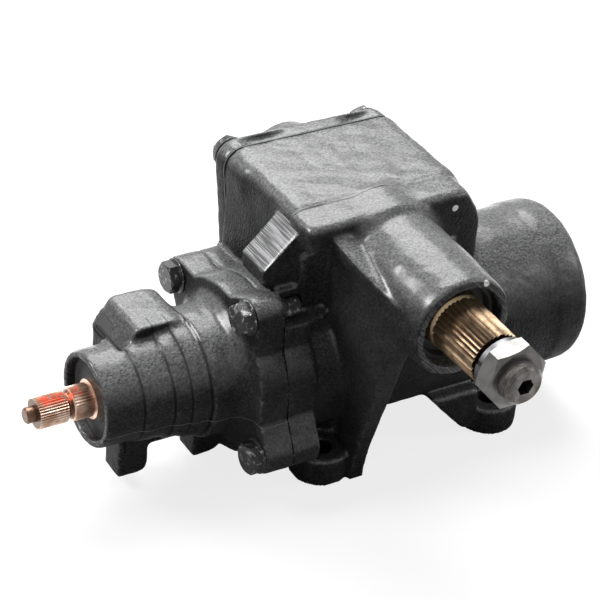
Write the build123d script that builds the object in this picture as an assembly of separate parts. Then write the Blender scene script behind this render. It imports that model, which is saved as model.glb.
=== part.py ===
from build123d import *
import math
import os

# Recirculating-ball power steering gearbox, in millimetres.
# Frame of the part: the origin is the centre of the four frame bolts on the mounting plane, +X runs from
# the input shaft to the rear of the cylinder, -Y to the output end of the sector shaft, +Z is up.
# The pieces are drawn in the gear frame, where the sector shaft's axis is at x = 0 and the worm's axis is
# at y = 0, z = 0, and are moved to the part's frame when they are written.

# Frame bolts
BOLT_SPACING_X = 120.0
BOLT_SPACING_Y = 80.0
BOLT_PATTERN_X = 23.0
FRAME_HOLE_RADIUS = 6.75
LUG_RADIUS = 18.0
LUG_HEIGHT = 18.0
SPOTFACE_RADIUS = 14.0
SPOTFACE_DEPTH = 1.0
LUG_EDGE = 2.0
SADDLE_HALF_WIDTH = 12.6
SADDLE_PAD_Y = 24.8
SADDLE_ARCH_Y = 18.0
SADDLE_ARCH_Z = -57.0
SADDLE_TOP_Y = 36.0
SADDLE_TOP_Z = -25.0
WORM_HEIGHT = 64.0

# Sector gear and rack
MODULE = 5.0
FULL_CIRCLE_TEETH = 16
SECTOR_TEETH = 5
RACK_TEETH = 6
PRESSURE_ANGLE = 22.5
ADDENDUM = 4.5
DEDENDUM = 5.5
BACKLASH = 0.2
GEAR_FACE = 44.0
RACK_PITCH_HEIGHT = 31.0
INVOLUTE_STEPS = 5
PITCH_RADIUS = MODULE * FULL_CIRCLE_TEETH / 2
TOOTH_PITCH = math.pi * MODULE
TOOTH_ANGLE = 360.0 / FULL_CIRCLE_TEETH
TIP_RADIUS = PITCH_RADIUS + ADDENDUM
ROOT_RADIUS = PITCH_RADIUS - DEDENDUM
SECTOR_HEIGHT = RACK_PITCH_HEIGHT + PITCH_RADIUS
SECTOR_RANGE = 42.0
STROKE = math.radians(SECTOR_RANGE) * PITCH_RADIUS

# Cylinder and piston
BORE_RADIUS = 40.0
PISTON_CLEARANCE = 0.07
PISTON_FRONT = -44.0
PISTON_LENGTH = 134.0
END_ROOM = 2.7
BARREL_WALL = 10.0
BARREL_EDGE = 7.5
RING_GROOVE_X = 76.0
RING_WIDTH = 4.0
RING_GAP = 0.03
RING_THICKNESS = 2.0
RING_BACKING = 2.0
PISTON_EDGE = 1.0
PISTON_RADIUS = BORE_RADIUS - PISTON_CLEARANCE
PISTON_REAR = PISTON_FRONT + PISTON_LENGTH
BARREL_RADIUS = BORE_RADIUS + BARREL_WALL

# Worm and ball circuit
LEAD = 15.0
BALL_RADIUS = 3.4
BALL_CIRCLE = 15.5
GROOVE_GAP = 0.3
WORM_RADIUS = 14.8
NUT_BORE = 15.4
CIRCUIT_X = -31.0
CIRCUIT_TURNS = 2.5
CIRCUIT_BALLS = 28
WORM_TURNS_BEFORE = 2.3
WORM_TURNS_AFTER = 4.5
WORM_TIP_ROOM = 1.5
GUIDE_WALL = 1.0
GUIDE_AXIS_Z = -30.5
GUIDE_BEND = 9.0
GUIDE_FLAT_Z = -28.0
GUIDE_FLAT_MARGIN = 9.0
GUIDE_BALLS = 10
GUIDE_END_GAP = 0.5
STRAP_THICKNESS = 2.0
STRAP_WIDTH = 12.0
STRAP_FOOT = 6.5
STRAP_SCREW_RADIUS = 2.0
STRAP_SCREW_LENGTH = 9.0
STRAP_HEAD_RADIUS = 3.2
STRAP_HEAD_HEIGHT = 3.0
PLUG_THREAD_DEPTH = 10.0
PISTON_PLUG_RADIUS = 18.4

# Joint flange between the valve housing and the main housing
FLANGE_X = -70.0
FLANGE_RADIUS = 52.5
VALVE_FLANGE_THICKNESS = 18.0
MAIN_FLANGE_THICKNESS = 18.0
EAR_LENGTH = 28.0
EAR_RADIUS = 11.5
EAR_ROOT_RADIUS = 42.0
EAR_RING = 60.0
EAR_FIRST_ANGLE = 60.0
EAR_COUNT = 4
FLANGE_BOLT_RADIUS = 6.0
FLANGE_BOLT_GAP = 0.6
FLANGE_BOLT_DEPTH = 17.0
FLANGE_BOLT_ACROSS = 18.0
FLANGE_HEAD_HEIGHT = 8.0
BOLT_END_ROOM = 2.0
O_RING_SECTION = 1.5
FLANGE_O_RING = 45.0

# Rear end plug
PLUG_THICKNESS = 14.0
PLUG_SEAT_STEP = 1.0
PLUG_RECESS_DEPTH = 5.0
PLUG_RIB_WIDTH = 8.0
RETAINER_THICKNESS = 2.0
RETAINER_DEPTH = 2.2
REAR_LIP = 5.5

# Gear chamber of the main housing
CHAMBER_WALL = 8.5
CHAMBER_GAP = 3.0
CHAMBER_RISE = 6.5
HUB_CAVITY_RADIUS = 28.0
CHAMBER_FRONT_Y = -28.0
CHAMBER_FRONT_WALL = 8.0
COVER_FACE_Y = 57.0
BOX_FRONT_Y = -15.0
BOX_TOP_ABOVE_SECTOR = 34.0
BOX_RIGHT = 53.0
SHOULDER_X = 76.0
SHOULDER_Z = 72.0
BOX_BOTTOM_Z = 26.0
BOX_CORNER = 10.0
BOX_EDGE = 4.0
BULGE_ROOF = 7.0
BULGE_BOTTOM_Z = 10.0
BULGE_BACK_Y = 40.0
BULGE_EDGE = 9.0
COVER_FLANGE_THICKNESS = 20.0
CHAMBER_RADIUS = TIP_RADIUS + CHAMBER_GAP
CHAMBER_OUTER = CHAMBER_RADIUS + CHAMBER_WALL
BOX_TOP = SECTOR_HEIGHT + BOX_TOP_ABOVE_SECTOR
BULGE_TOP_Z = SECTOR_HEIGHT + CHAMBER_RISE + BULGE_ROOF

# Machined pad on the chamber's left shoulder
PAD_FRONT_Y = -25.0
PAD_BACK_Y = 0.0
PAD_LOW_X = -77.0
PAD_LOW_Z = 75.5
PAD_RUN = 23.5
PAD_BLOCK_DEPTH = 13.0

# Sector shaft tube
TUBE_MOUTH_Y = -110.7
TUBE_MOUTH_RADIUS = 31.0
TUBE_MID_Y = -72.0
TUBE_MID_RADIUS = 34.3
TUBE_ROOT_RADIUS = 36.3
TUBE_MOUTH_EDGE = 1.5
TUBE_BLEND = 8.0
SEAL_POCKET_RADIUS = 24.8
SEAL_POCKET_Y = -71.0
WEB_X = -26.0
WEB_THICKNESS = 10.0
WEB_FOOT_STEP = 2.0
WEB_UPPER = ((-86.0, 42.0), (-60.0, 50.0), (-30.0, 20.0))

# Sector shaft
JOURNAL_RADIUS = 17.5
JOURNAL_END_Y = -104.0
SPLINE_START_Y = -106.0
SPLINE_END_Y = -142.5
SPLINE_ROOT_RADIUS = 17.2
SPLINE_SMALL_RADIUS = 16.2
SERRATIONS = 36
SERRATION_DEPTH = 1.3
MASTER_SERRATIONS = 4
THREAD_RADIUS = 12.25
SHAFT_TIP_Y = -170.0
TIP_CHAMFER = 2.0
TIP_SOCKET_ACROSS = 9.0
TIP_SOCKET_DEPTH = 8.0
SECTOR_HUB_RADIUS = 26.0
SECTOR_HUB_REACH = GEAR_FACE / 2 + 3.0
SECTOR_FLANK_SPREAD = 4.0
BACK_JOURNAL_RADIUS = 17.0
SHAFT_BACK_Y = 83.0
NUT_FRONT_Y = -162.0
NUT_HEIGHT = 12.0
NUT_ACROSS = 36.0
NUT_GAP = 0.05
WASHER_THICKNESS = 4.0
WASHER_RADIUS = 18.0
WASHER_BORE = 12.8
WASHER_SLIT = 3.0
WASHER_SLIT_ANGLE = 160.0
WASHER_SLIT_TILT = 25.0

# Sector bearings and seals
BEARING_OUTER_RADIUS = 23.0
BEARING_FRONT_Y = -68.0
BEARING_LENGTH = 36.0
ROLLER_RADIUS = 1.5
ROLLER_COUNT = 18
ROLLER_END_GAP = 0.2
RUNNING_GAP = 0.05
SHELL_LIP = 1.5
SHELL_LIP_RISE = 1.0
SEAL_LENGTH = 10.0
SEAL_LIP_LENGTH = 3.0
SEAL_CASE_WALL = 2.5
SEAL_RING_GAP = 0.5
DUST_SEAL_LENGTH = 9.0
DUST_SEAL_INSET = 1.5
BUSHING_WALL = 2.5
BUSHING_FRONT_Y = 59.5
BUSHING_LENGTH = 22.0

# Side cover and adjuster
GASKET_THICKNESS = 1.0
COVER_THICKNESS = 12.0
COVER_CORNER = 12.0
COVER_EDGE = 2.5
COVER_BOSS_RADIUS = 30.0
COVER_BOSS_TIP = 24.0
COVER_BOSS_HEIGHT = 20.0
COVER_BOSS_EDGE = 1.5
COVER_RIB_THICKNESS = 7.0
COVER_RIB_END = 14.4
COVER_RIB_CORNER = 6.0
COVER_CAVITY_DEPTH = 26.0
COVER_BOLT_UPPER = (46.0, 22.0)
COVER_BOLT_LOWER = (38.0, -46.0)
COVER_BOLT_RADIUS = 6.0
COVER_BOLT_DEPTH = 22.0
COVER_BOLT_ACROSS = 18.0
COVER_BOLT_GAP = 0.6
COVER_HEAD_HEIGHT = 7.0
ADJUSTER_RADIUS = 6.0
ADJUSTER_HEAD_RADIUS = 8.6
ADJUSTER_HEAD_THICKNESS = 4.0
ADJUSTER_POCKET_RADIUS = 9.5
ADJUSTER_LENGTH = 28.0
ADJUSTER_GAP = 0.15
ADJUSTER_EDGE = 1.0
RETAINER_RING_THICKNESS = 3.0
LOCK_NUT_ACROSS = 19.0
LOCK_NUT_HEIGHT = 7.0
ADJUSTER_SLOT_WIDTH = 2.5
ADJUSTER_SLOT_DEPTH = 3.0

# Valve housing
MOUTH_X = -172.4
MOUTH_RADIUS = 28.7
MOUTH_BORE = 24.0
MOUTH_DEPTH = 9.4
NOSE_STEPS = ((-149.0, 31.0), (-131.0, 33.2), (-121.0, 35.2), (-110.0, 38.5))
STEP_GROOVE = 0.9
STEP_GROOVE_WIDTH = 1.2
SLEEVE_SHOULDER_RADIUS = 13.6
SLEEVE_BORE = 21.0
SLEEVE_BORE_START = -138.5
WORM_BEARING_RADIUS = 30.0
WORM_BEARING_X = -100.0
WORM_BEARING_WIDTH = 16.0
WORM_BEARING_BALL = 4.0
WORM_BEARING_BALLS = 10
OUTER_RACE_WALL = 4.5
INNER_RACE_WALL = 4.0
BEARING_NUT_SLOTS = 4
BEARING_NUT_SLOT_DEPTH = 3.0
BEARING_NUT_SLOT_WIDTH = 5.0
BEARING_NUT_WIDTH = 7.0
BEARING_NUT_BORE = 21.0
PISTON_RECESS_RADIUS = 40.8
PISTON_RECESS_DEPTH = 6.0
FOOT_BOTTOM_Z = -57.0
FOOT_FRONT_Y = -8.0
FOOT_BACK_Y = 10.0
FOOT_SPANS = ((-160.0, -134.0), (-114.0, -86.0))
FOOT_ARCH_Z = -38.5
FOOT_CORNER = 5.5
PORT_BLOCK_SPAN = (-150.0, -107.0)
PORT_FACE_Y = 37.0
PORT_BLOCK_TOP_Z = 39.0
PORT_BLOCK_FLAT_Z = 6.0
PORT_BLOCK_CORNER = 12.0
PORT_Z = 22.0
PRESSURE_PORT_X = -139.0
RETURN_PORT_X = -118.0
PRESSURE_PORT_RADIUS = 7.25
RETURN_PORT_RADIUS = 8.25
PORT_DEPTH = 13.0
PORT_SPOT_DEPTH = 0.8
PORT_SPOT_MARGIN = 2.0
PASSAGE_RADIUS = 2.5
PASSAGE_DROP = 6.3

# Input shaft, valve and torsion bar
INPUT_TIP_X = -209.5
PILOT_RADIUS = 4.75
PILOT_LENGTH = 6.0
INPUT_EDGE = 0.8
OUTER_SPLINE_RADIUS = 9.3
OUTER_SPLINE_LENGTH = 17.5
NECK_RADIUS = 7.25
NECK_LENGTH = 4.0
NECK_TAPER = 1.6
SPLINE_CORE_GAP = 0.5
INNER_SPLINE_RADIUS = 10.0
INNER_SPLINE_LENGTH = 11.0
INPUT_SERRATIONS = 36
INPUT_SERRATION_DEPTH = 0.8
COLLAR_RADIUS = 11.75
INPUT_JOURNAL_RADIUS = 11.0
INPUT_JOURNAL_X = -155.5
INPUT_BEARING_X = -152.0
INPUT_BEARING_LENGTH = 12.0
INPUT_BEARING_RADIUS = 15.0
INPUT_SEAL_RADIUS = 18.0
INPUT_SEAL_LENGTH = 7.0
SNAP_RING_THICKNESS = 1.2
SNAP_RING_INSET = 0.8
SNAP_RING_GROOVE = 1.0
SNAP_RING_WIDTH = 3.0
SNAP_RING_MOUTH = 4.0
DUST_BOOT_THICKNESS = 2.5
DUST_BOOT_LIP = 1.5
SPOOL_RADIUS = 13.0
SPOOL_START_X = -138.0
SPOOL_LENGTH = 20.0
SPOOL_SLOTS = 6
SPOOL_SLOT_WIDTH = 4.0
SPOOL_SLOT_DEPTH = 1.4
SPOOL_SLOT_LENGTH = 13.0
VALVE_GAP = 0.03
SLEEVE_LENGTH = 37.0
SLEEVE_RINGS = 4
SLEEVE_RING_WIDTH = 2.0
SLEEVE_RING_DEPTH = 1.5
SLEEVE_HOLE_RADIUS = 1.5
TONGUE_LENGTH = 13.0
TONGUE_RADIUS = 9.0
TONGUE_WIDTH = 9.0
TONGUE_TIP_RADIUS = 10.0
TONGUE_GAP = 0.5
TWIST_RANGE = 7.0
TWIST_ROOM = 7.35
CUP_DEPTH = 12.0
WORM_HEAD_LENGTH = 15.0
SLEEVE_PIN_X = -110.0
BAR_RADIUS = 3.0
BAR_HOLE_RADIUS = 3.6
BAR_END_RADIUS = 3.5
BAR_HEAD_LENGTH = 10.0
BAR_START_X = -159.0
BAR_END_X = -68.5
UPPER_PIN_X = -153.8
LOWER_PIN_X = -74.5
PIN_RADIUS = 1.6
PIN_INSET = 0.3
PIN_PLAY = 0.15
WORM_NECK_RADIUS = 13.8
WORM_SEAT_RADIUS = 15.0
WORM_SHOULDER_RADIUS = 17.0
WORM_SHOULDER_WIDTH = 2.0

# Places worked out from the sizes above
GROOVE_RADIUS = BALL_RADIUS + GROOVE_GAP
WORM_FRONT_THREAD = CIRCUIT_X - WORM_TURNS_BEFORE * LEAD
WORM_TIP = CIRCUIT_X + WORM_TURNS_AFTER * LEAD + WORM_TIP_ROOM
PLUG_FRONT = PISTON_REAR + STROKE + END_ROOM
PLUG_REAR = PLUG_FRONT + PLUG_THICKNESS
REAR_FACE = PLUG_REAR + RETAINER_THICKNESS + REAR_LIP
GUIDE_RADIUS = GROOVE_RADIUS + GUIDE_WALL
VALVE_FLANGE_X = FLANGE_X - VALVE_FLANGE_THICKNESS
COVER_INNER_Y = COVER_FACE_Y + GASKET_THICKNESS
COVER_OUTER_Y = COVER_INNER_Y + COVER_THICKNESS
COVER_BOSS_Y = COVER_OUTER_Y + COVER_BOSS_HEIGHT
WORM_SEAT_END = WORM_BEARING_X + WORM_BEARING_WIDTH
SLEEVE_START = SLEEVE_BORE_START + 0.5
SLEEVE_END = SLEEVE_START + SLEEVE_LENGTH
INPUT_SEAL_FACE = MOUTH_X + MOUTH_DEPTH
EPS = 0.01

# Shapes that hexagons and bolts share, as shares of their own sizes
CROWN_SHARE = 0.8
SHANK_CHAMFER_SHARE = 0.2

WORM_AXIS = Plane(origin=(0, 0, 0), x_dir=(0, 1, 0), z_dir=(1, 0, 0))
SECTOR_AXIS = Plane(origin=(0, 0, SECTOR_HEIGHT), x_dir=(1, 0, 0), z_dir=(0, 1, 0))
TO_PART_FRAME = Pos(-BOLT_PATTERN_X, 0, WORM_HEIGHT)
BASE = (Align.CENTER, Align.CENTER, Align.MIN)


def rod_x(radius, x_from, x_to):
    """Cylinder on the worm axis."""
    return WORM_AXIS * Pos(0, 0, x_from) * Cylinder(radius, x_to - x_from, align=BASE)


def rod_y(radius, y_from, y_to):
    """Cylinder on the sector shaft's axis."""
    return SECTOR_AXIS * Pos(0, 0, y_from) * Cylinder(radius, y_to - y_from, align=BASE)


def ring_x(outer, inner, x_from, x_to):
    return rod_x(outer, x_from, x_to) - rod_x(inner, x_from - EPS, x_to + EPS)


def ring_y(outer, inner, y_from, y_to):
    return rod_y(outer, y_from, y_to) - rod_y(inner, y_from - EPS, y_to + EPS)


def turned_x(corners):
    """Solid turned about the worm axis from (x, radius) corners."""
    return revolve(Plane.XZ * make_face(Polyline(*corners, close=True)), Axis.X, 360)


def turned_y(corners):
    """Solid turned about the sector shaft's axis from (y, radius) corners."""
    face = make_face(Polyline(*corners, close=True))
    return Pos(0, 0, SECTOR_HEIGHT) * revolve(Plane.YZ * face, Axis.Y, 360)


def block(x_span, y_span, z_span):
    size = [span[1] - span[0] for span in (x_span, y_span, z_span)]
    centre = [(span[1] + span[0]) / 2 for span in (x_span, y_span, z_span)]
    return Pos(*centre) * Box(*size)


def slab_xz(outline, y_from, y_to):
    """Plate of an outline drawn in X and Z, from y_from to y_to."""
    face = Plane((0, y_to, 0), x_dir=(1, 0, 0), z_dir=(0, -1, 0)) * make_face(outline)
    return extrude(face, y_to - y_from)


def hexagon(across, height, bore=0.0):
    """Hexagon on +Z with chamfered corners, like a nut or a bolt's head."""
    corner = across / math.sqrt(3)
    prism = extrude(RegularPolygon(across / 2, 6, major_radius=False), height)
    flat = across / 2
    crown_z = height * CROWN_SHARE
    crown = Polyline((0, 0), (corner, 0), (corner, crown_z), (flat, height), (0, height), close=True)
    shape = prism & revolve(Plane.XZ * make_face(crown), Axis.Z, 360)
    if bore:
        shape = shape - Pos(0, 0, -EPS) * Cylinder(bore, height + 2 * EPS, align=BASE)
    return shape


def hex_bolt(radius, length, across, head_height):
    """Bolt with its head on +Z and its shank below z = 0."""
    shank = Pos(0, 0, -length) * chamfer(
        Cylinder(radius, length, align=BASE).edges().sort_by(Axis.Z)[0], radius * SHANK_CHAMFER_SHARE
    )
    return hexagon(across, head_height) + shank


def ear_places():
    """Y and Z of the joint flange's bolts, turned from -Y towards +Z."""
    places = []
    for index in range(EAR_COUNT):
        angle = math.radians(EAR_FIRST_ANGLE + index * 360.0 / EAR_COUNT)
        places.append((-EAR_RING * math.cos(angle), EAR_RING * math.sin(angle)))
    return places


def flange_plate(x_from, x_to, ear_length=0.0):
    """Round flange with four ears; the long ones stop short of the side cover."""
    plate = rod_x(FLANGE_RADIUS, x_from, x_to)
    for y, z in ear_places():
        outline = make_hull([
            CenterArc((0, 0), EAR_ROOT_RADIUS, 0, 360).edge(),
            CenterArc((y, z), EAR_RADIUS, 0, 360).edge(),
        ])
        plate += WORM_AXIS * Pos(0, 0, x_from) * extrude(outline, x_to - x_from)
        if ear_length and y < BORE_RADIUS:
            plate += WORM_AXIS * Pos(y, z, x_from) * Cylinder(EAR_RADIUS, ear_length, align=BASE)
    return plate


def serrated(radius, depth, count, masters=0):
    """Outline of a serrated shaft with, if asked, evenly spaced wide lands."""
    points = []
    for index in range(count):
        tip = math.radians(index * 360.0 / count)
        valley = math.radians((index + 0.5) * 360.0 / count)
        wide = masters and index % (count // masters) == 0
        valley_radius = radius if wide else radius - depth
        points.append((radius * math.cos(tip), radius * math.sin(tip)))
        points.append((valley_radius * math.cos(valley), valley_radius * math.sin(valley)))
    return Polyline(*points, close=True)


def ball_groove(first_turn, last_turn):
    """Helical channel of the balls, right hand, counted in turns from the circuit's first ball."""
    turns = last_turn - first_turn
    path = WORM_AXIS * Pos(0, 0, CIRCUIT_X) * Helix(pitch=LEAD, height=LEAD * turns, radius=BALL_CIRCLE)
    section = Plane(origin=path @ 0, z_dir=path % 0) * Circle(GROOVE_RADIUS)
    channel = sweep(section, path, is_frenet=True)
    return Pos(LEAD * first_turn, 0, 0) * Rot(360.0 * first_turn, 0, 0) * channel


def threads_from(body, places, plane_of, radius, depth):
    """Body with a blind hole of the given radius and depth at each place."""
    for place in places:
        body = body - plane_of(place) * Pos(0, 0, -depth) * Cylinder(radius, depth + EPS, align=BASE)
    return body


def cover_bolt_places():
    """X and Z of the side cover's four bolts."""
    places = []
    for across, above in (COVER_BOLT_UPPER, COVER_BOLT_LOWER):
        for side in (-1, 1):
            places.append((side * across, SECTOR_HEIGHT + above))
    return places


def lug_places():
    places = []
    for x_side in (-1, 1):
        for y_side in (-1, 1):
            places.append((BOLT_PATTERN_X + x_side * BOLT_SPACING_X / 2, y_side * BOLT_SPACING_Y / 2))
    return places


def cover_slab(y_from, y_to):
    """Slab of the side cover's outline, straight tangents round its four bolts."""
    corners = [CenterArc(place, COVER_CORNER, 0, 360).edge() for place in cover_bolt_places()]
    plane = Plane((0, y_to, 0), x_dir=(1, 0, 0), z_dir=(0, -1, 0))
    return extrude(plane * make_hull(corners), y_to - y_from)


def barrel():
    tube = rod_x(BARREL_RADIUS, FLANGE_X, REAR_FACE)
    return fillet(tube.edges().group_by(Axis.X)[-1], BARREL_EDGE)


def chamber_box():
    outline = FilletPolyline(
        (-CHAMBER_OUTER, BOX_BOTTOM_Z),
        (-CHAMBER_OUTER, BOX_TOP),
        (BOX_RIGHT, BOX_TOP),
        (SHOULDER_X, SHOULDER_Z),
        (SHOULDER_X, BOX_BOTTOM_Z),
        radius=BOX_CORNER,
        close=True,
    )
    box = slab_xz(outline, BOX_FRONT_Y, COVER_FACE_Y)
    return fillet(box.faces().sort_by(Axis.Y)[0].edges(), BOX_EDGE)


def chamber_bulge():
    """Rounded front of the chamber, over the sector's teeth."""
    front = CHAMBER_FRONT_Y - CHAMBER_FRONT_WALL
    bulge = block((-CHAMBER_OUTER, CHAMBER_OUTER), (front, BULGE_BACK_Y), (BULGE_BOTTOM_Z, BULGE_TOP_Z))
    face = bulge.faces().sort_by(Axis.Y)[0]
    return fillet(face.edges() + bulge.edges().filter_by(Axis.Y).group_by(Axis.Z)[-1], BULGE_EDGE)


def shaft_tube():
    front = CHAMBER_FRONT_Y - CHAMBER_FRONT_WALL
    root_y = front - TUBE_BLEND
    tube = turned_y([
        (BOX_FRONT_Y + BOX_EDGE, 0),
        (BOX_FRONT_Y + BOX_EDGE, TUBE_ROOT_RADIUS),
        (root_y, TUBE_ROOT_RADIUS),
        (TUBE_MID_Y, TUBE_MID_RADIUS),
        (TUBE_MOUTH_Y + TUBE_MOUTH_EDGE, TUBE_MOUTH_RADIUS),
        (TUBE_MOUTH_Y, TUBE_MOUTH_RADIUS - TUBE_MOUTH_EDGE),
        (TUBE_MOUTH_Y, 0),
    ])
    blend_outline = make_face([
        Line((front, TUBE_ROOT_RADIUS + TUBE_BLEND), (front, TUBE_ROOT_RADIUS)),
        Line((front, TUBE_ROOT_RADIUS), (root_y, TUBE_ROOT_RADIUS)),
        RadiusArc((root_y, TUBE_ROOT_RADIUS), (front, TUBE_ROOT_RADIUS + TUBE_BLEND), TUBE_BLEND),
    ])
    blend = Pos(0, 0, SECTOR_HEIGHT) * revolve(Plane.YZ * blend_outline, Axis.Y, 360)
    low_front = block(
        (-CHAMBER_OUTER + BULGE_EDGE, CHAMBER_OUTER - BULGE_EDGE),
        (root_y - EPS, front + EPS),
        (BULGE_BOTTOM_Z, BULGE_TOP_Z - BULGE_EDGE),
    )
    return tube + (blend & low_front)


def pad_block():
    """Block under the slanted machined pad on the chamber's left shoulder."""
    pad_high_x = PAD_LOW_X + PAD_RUN
    pad_high_z = PAD_LOW_Z + PAD_RUN
    inside_x = pad_high_x + PAD_BLOCK_DEPTH / 2
    outline = Polyline(
        (PAD_LOW_X, PAD_LOW_Z),
        (pad_high_x, pad_high_z),
        (inside_x, pad_high_z),
        (inside_x, PAD_LOW_Z - PAD_BLOCK_DEPTH),
        (PAD_LOW_X + PAD_BLOCK_DEPTH / 3, PAD_LOW_Z - PAD_BLOCK_DEPTH),
        (PAD_LOW_X, PAD_LOW_Z - PAD_BLOCK_DEPTH / 1.5),
        close=True,
    )
    return slab_xz(outline, PAD_FRONT_Y, PAD_BACK_Y)


def frame_lugs():
    """The four lugs under the cylinder and the two saddles that carry them."""
    top = LUG_HEIGHT - WORM_HEIGHT
    reach = BOLT_SPACING_Y / 2
    saddle_outline = Polyline(
        (-reach, -WORM_HEIGHT),
        (-SADDLE_PAD_Y, -WORM_HEIGHT),
        (-SADDLE_ARCH_Y, SADDLE_ARCH_Z),
        (SADDLE_ARCH_Y, SADDLE_ARCH_Z),
        (SADDLE_PAD_Y, -WORM_HEIGHT),
        (reach, -WORM_HEIGHT),
        (reach, top),
        (SADDLE_TOP_Y, SADDLE_TOP_Z),
        (-SADDLE_TOP_Y, SADDLE_TOP_Z),
        (-reach, top),
        close=True,
    )
    lugs = Part()
    for x, y in lug_places():
        lug = Cylinder(LUG_RADIUS, LUG_HEIGHT, align=BASE)
        lugs += Pos(x, y, -WORM_HEIGHT) * fillet(lug.edges().sort_by(Axis.Z)[-1], LUG_EDGE)
    for x_side in (-1, 1):
        centre = BOLT_PATTERN_X + x_side * BOLT_SPACING_X / 2
        saddle = extrude(WORM_AXIS * make_face(saddle_outline), 2 * SADDLE_HALF_WIDTH)
        lugs += Pos(centre - SADDLE_HALF_WIDTH, 0, 0) * saddle
    return lugs


def web():
    """Cast web from the front left lug up to the sector tube."""
    lug_y = -BOLT_SPACING_Y / 2
    lug_edge_y = lug_y - LUG_RADIUS
    outline = Polyline(
        (lug_y, -WORM_HEIGHT),
        (lug_edge_y, -WORM_HEIGHT),
        (lug_edge_y - WEB_FOOT_STEP, LUG_HEIGHT - WORM_HEIGHT),
        *WEB_UPPER,
        close=True,
    )
    return Pos(WEB_X, 0, 0) * extrude(WORM_AXIS * make_face(outline), WEB_THICKNESS)


def chamber_cavity():
    wide = rod_y(CHAMBER_RADIUS, CHAMBER_FRONT_Y, COVER_FACE_Y + EPS)
    reach = CHAMBER_RADIUS + EPS
    low = block(
        (-reach, reach),
        (CHAMBER_FRONT_Y - EPS, COVER_FACE_Y + 2 * EPS),
        (SECTOR_HEIGHT - reach, SECTOR_HEIGHT + CHAMBER_RISE),
    )
    return (wide & low) + rod_y(HUB_CAVITY_RADIUS, CHAMBER_FRONT_Y, COVER_FACE_Y + EPS)


def retainer_groove(plane, radius, start):
    return plane * Pos(0, 0, start) * Cylinder(radius + RETAINER_DEPTH, RETAINER_THICKNESS, align=BASE)


def main_housing():
    body = barrel() + flange_plate(FLANGE_X, FLANGE_X + MAIN_FLANGE_THICKNESS, EAR_LENGTH)
    body = body + chamber_box() + chamber_bulge()
    body = body + cover_slab(COVER_FACE_Y - COVER_FLANGE_THICKNESS, COVER_FACE_Y)
    body = body + shaft_tube() + pad_block() + frame_lugs() + web()
    seat = BORE_RADIUS + PLUG_SEAT_STEP
    body = body - rod_x(BORE_RADIUS, FLANGE_X - EPS, PLUG_FRONT + EPS)
    body = body - rod_x(seat, PLUG_FRONT, REAR_FACE + EPS)
    body = body - retainer_groove(WORM_AXIS, seat, PLUG_REAR) - chamber_cavity()
    body = body - rod_y(BEARING_OUTER_RADIUS, SEAL_POCKET_Y - EPS, CHAMBER_FRONT_Y + EPS)
    body = body - rod_y(SEAL_POCKET_RADIUS, TUBE_MOUTH_Y - EPS, SEAL_POCKET_Y)
    body = body - retainer_groove(SECTOR_AXIS, SEAL_POCKET_RADIUS, seal_retainer_y())
    body = threads_from(
        body, ear_places(), lambda at: Plane(origin=(FLANGE_X, at[0], at[1]), z_dir=(-1, 0, 0)),
        FLANGE_BOLT_RADIUS, FLANGE_BOLT_DEPTH,
    )
    body = threads_from(
        body, cover_bolt_places(), lambda at: Plane(origin=(at[0], COVER_FACE_Y, at[1]), z_dir=(0, 1, 0)),
        COVER_BOLT_RADIUS, COVER_BOLT_DEPTH,
    )
    for x, y in lug_places():
        hole = Cylinder(FRAME_HOLE_RADIUS, LUG_HEIGHT + 1, align=BASE)
        body = body - Pos(x, y, -WORM_HEIGHT - EPS) * hole
        spot = Cylinder(SPOTFACE_RADIUS, WORM_HEIGHT / 4, align=BASE)
        body = body - Pos(x, y, LUG_HEIGHT - WORM_HEIGHT - SPOTFACE_DEPTH) * spot
    return body


def valve_nose():
    """Stepped round outside of the valve housing with its dark joint grooves."""
    corners = [(MOUTH_X, 0), (MOUTH_X, MOUTH_RADIUS - 1), (MOUTH_X + 1, MOUTH_RADIUS)]
    last = MOUTH_RADIUS
    for x, radius in NOSE_STEPS:
        corners.append((x - STEP_GROOVE_WIDTH, last))
        corners.append((x - STEP_GROOVE_WIDTH, last - STEP_GROOVE))
        corners.append((x, last - STEP_GROOVE))
        corners.append((x, radius))
        last = radius
    flare = FLANGE_RADIUS - last
    corners += [(VALVE_FLANGE_X - flare / 2, last), (VALVE_FLANGE_X, last + flare / 2)]
    corners += [(VALVE_FLANGE_X + 1, last + flare / 2), (VALVE_FLANGE_X + 1, 0)]
    return turned_x(corners)


def valve_feet():
    """Cast feet under the valve housing with the arch between them."""
    outline = block(
        (FOOT_SPANS[0][0], FOOT_SPANS[-1][1]), (FOOT_FRONT_Y, FOOT_BACK_Y), (FOOT_BOTTOM_Z, 0)
    )
    outline = outline - block(
        (FOOT_SPANS[0][1], FOOT_SPANS[1][0]),
        (FOOT_FRONT_Y - 1, FOOT_BACK_Y + 1),
        (FOOT_BOTTOM_Z - 1, FOOT_ARCH_Z),
    )
    return fillet(outline.edges().filter_by(Axis.Y).group_by(Axis.Z)[0], FOOT_CORNER)


def port_block():
    hump = block(PORT_BLOCK_SPAN, (0, PORT_FACE_Y), (PORT_BLOCK_FLAT_Z, PORT_BLOCK_TOP_Z))
    return fillet(hump.edges().filter_by(Axis.Y).group_by(Axis.Z)[-1], PORT_BLOCK_CORNER)


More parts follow.
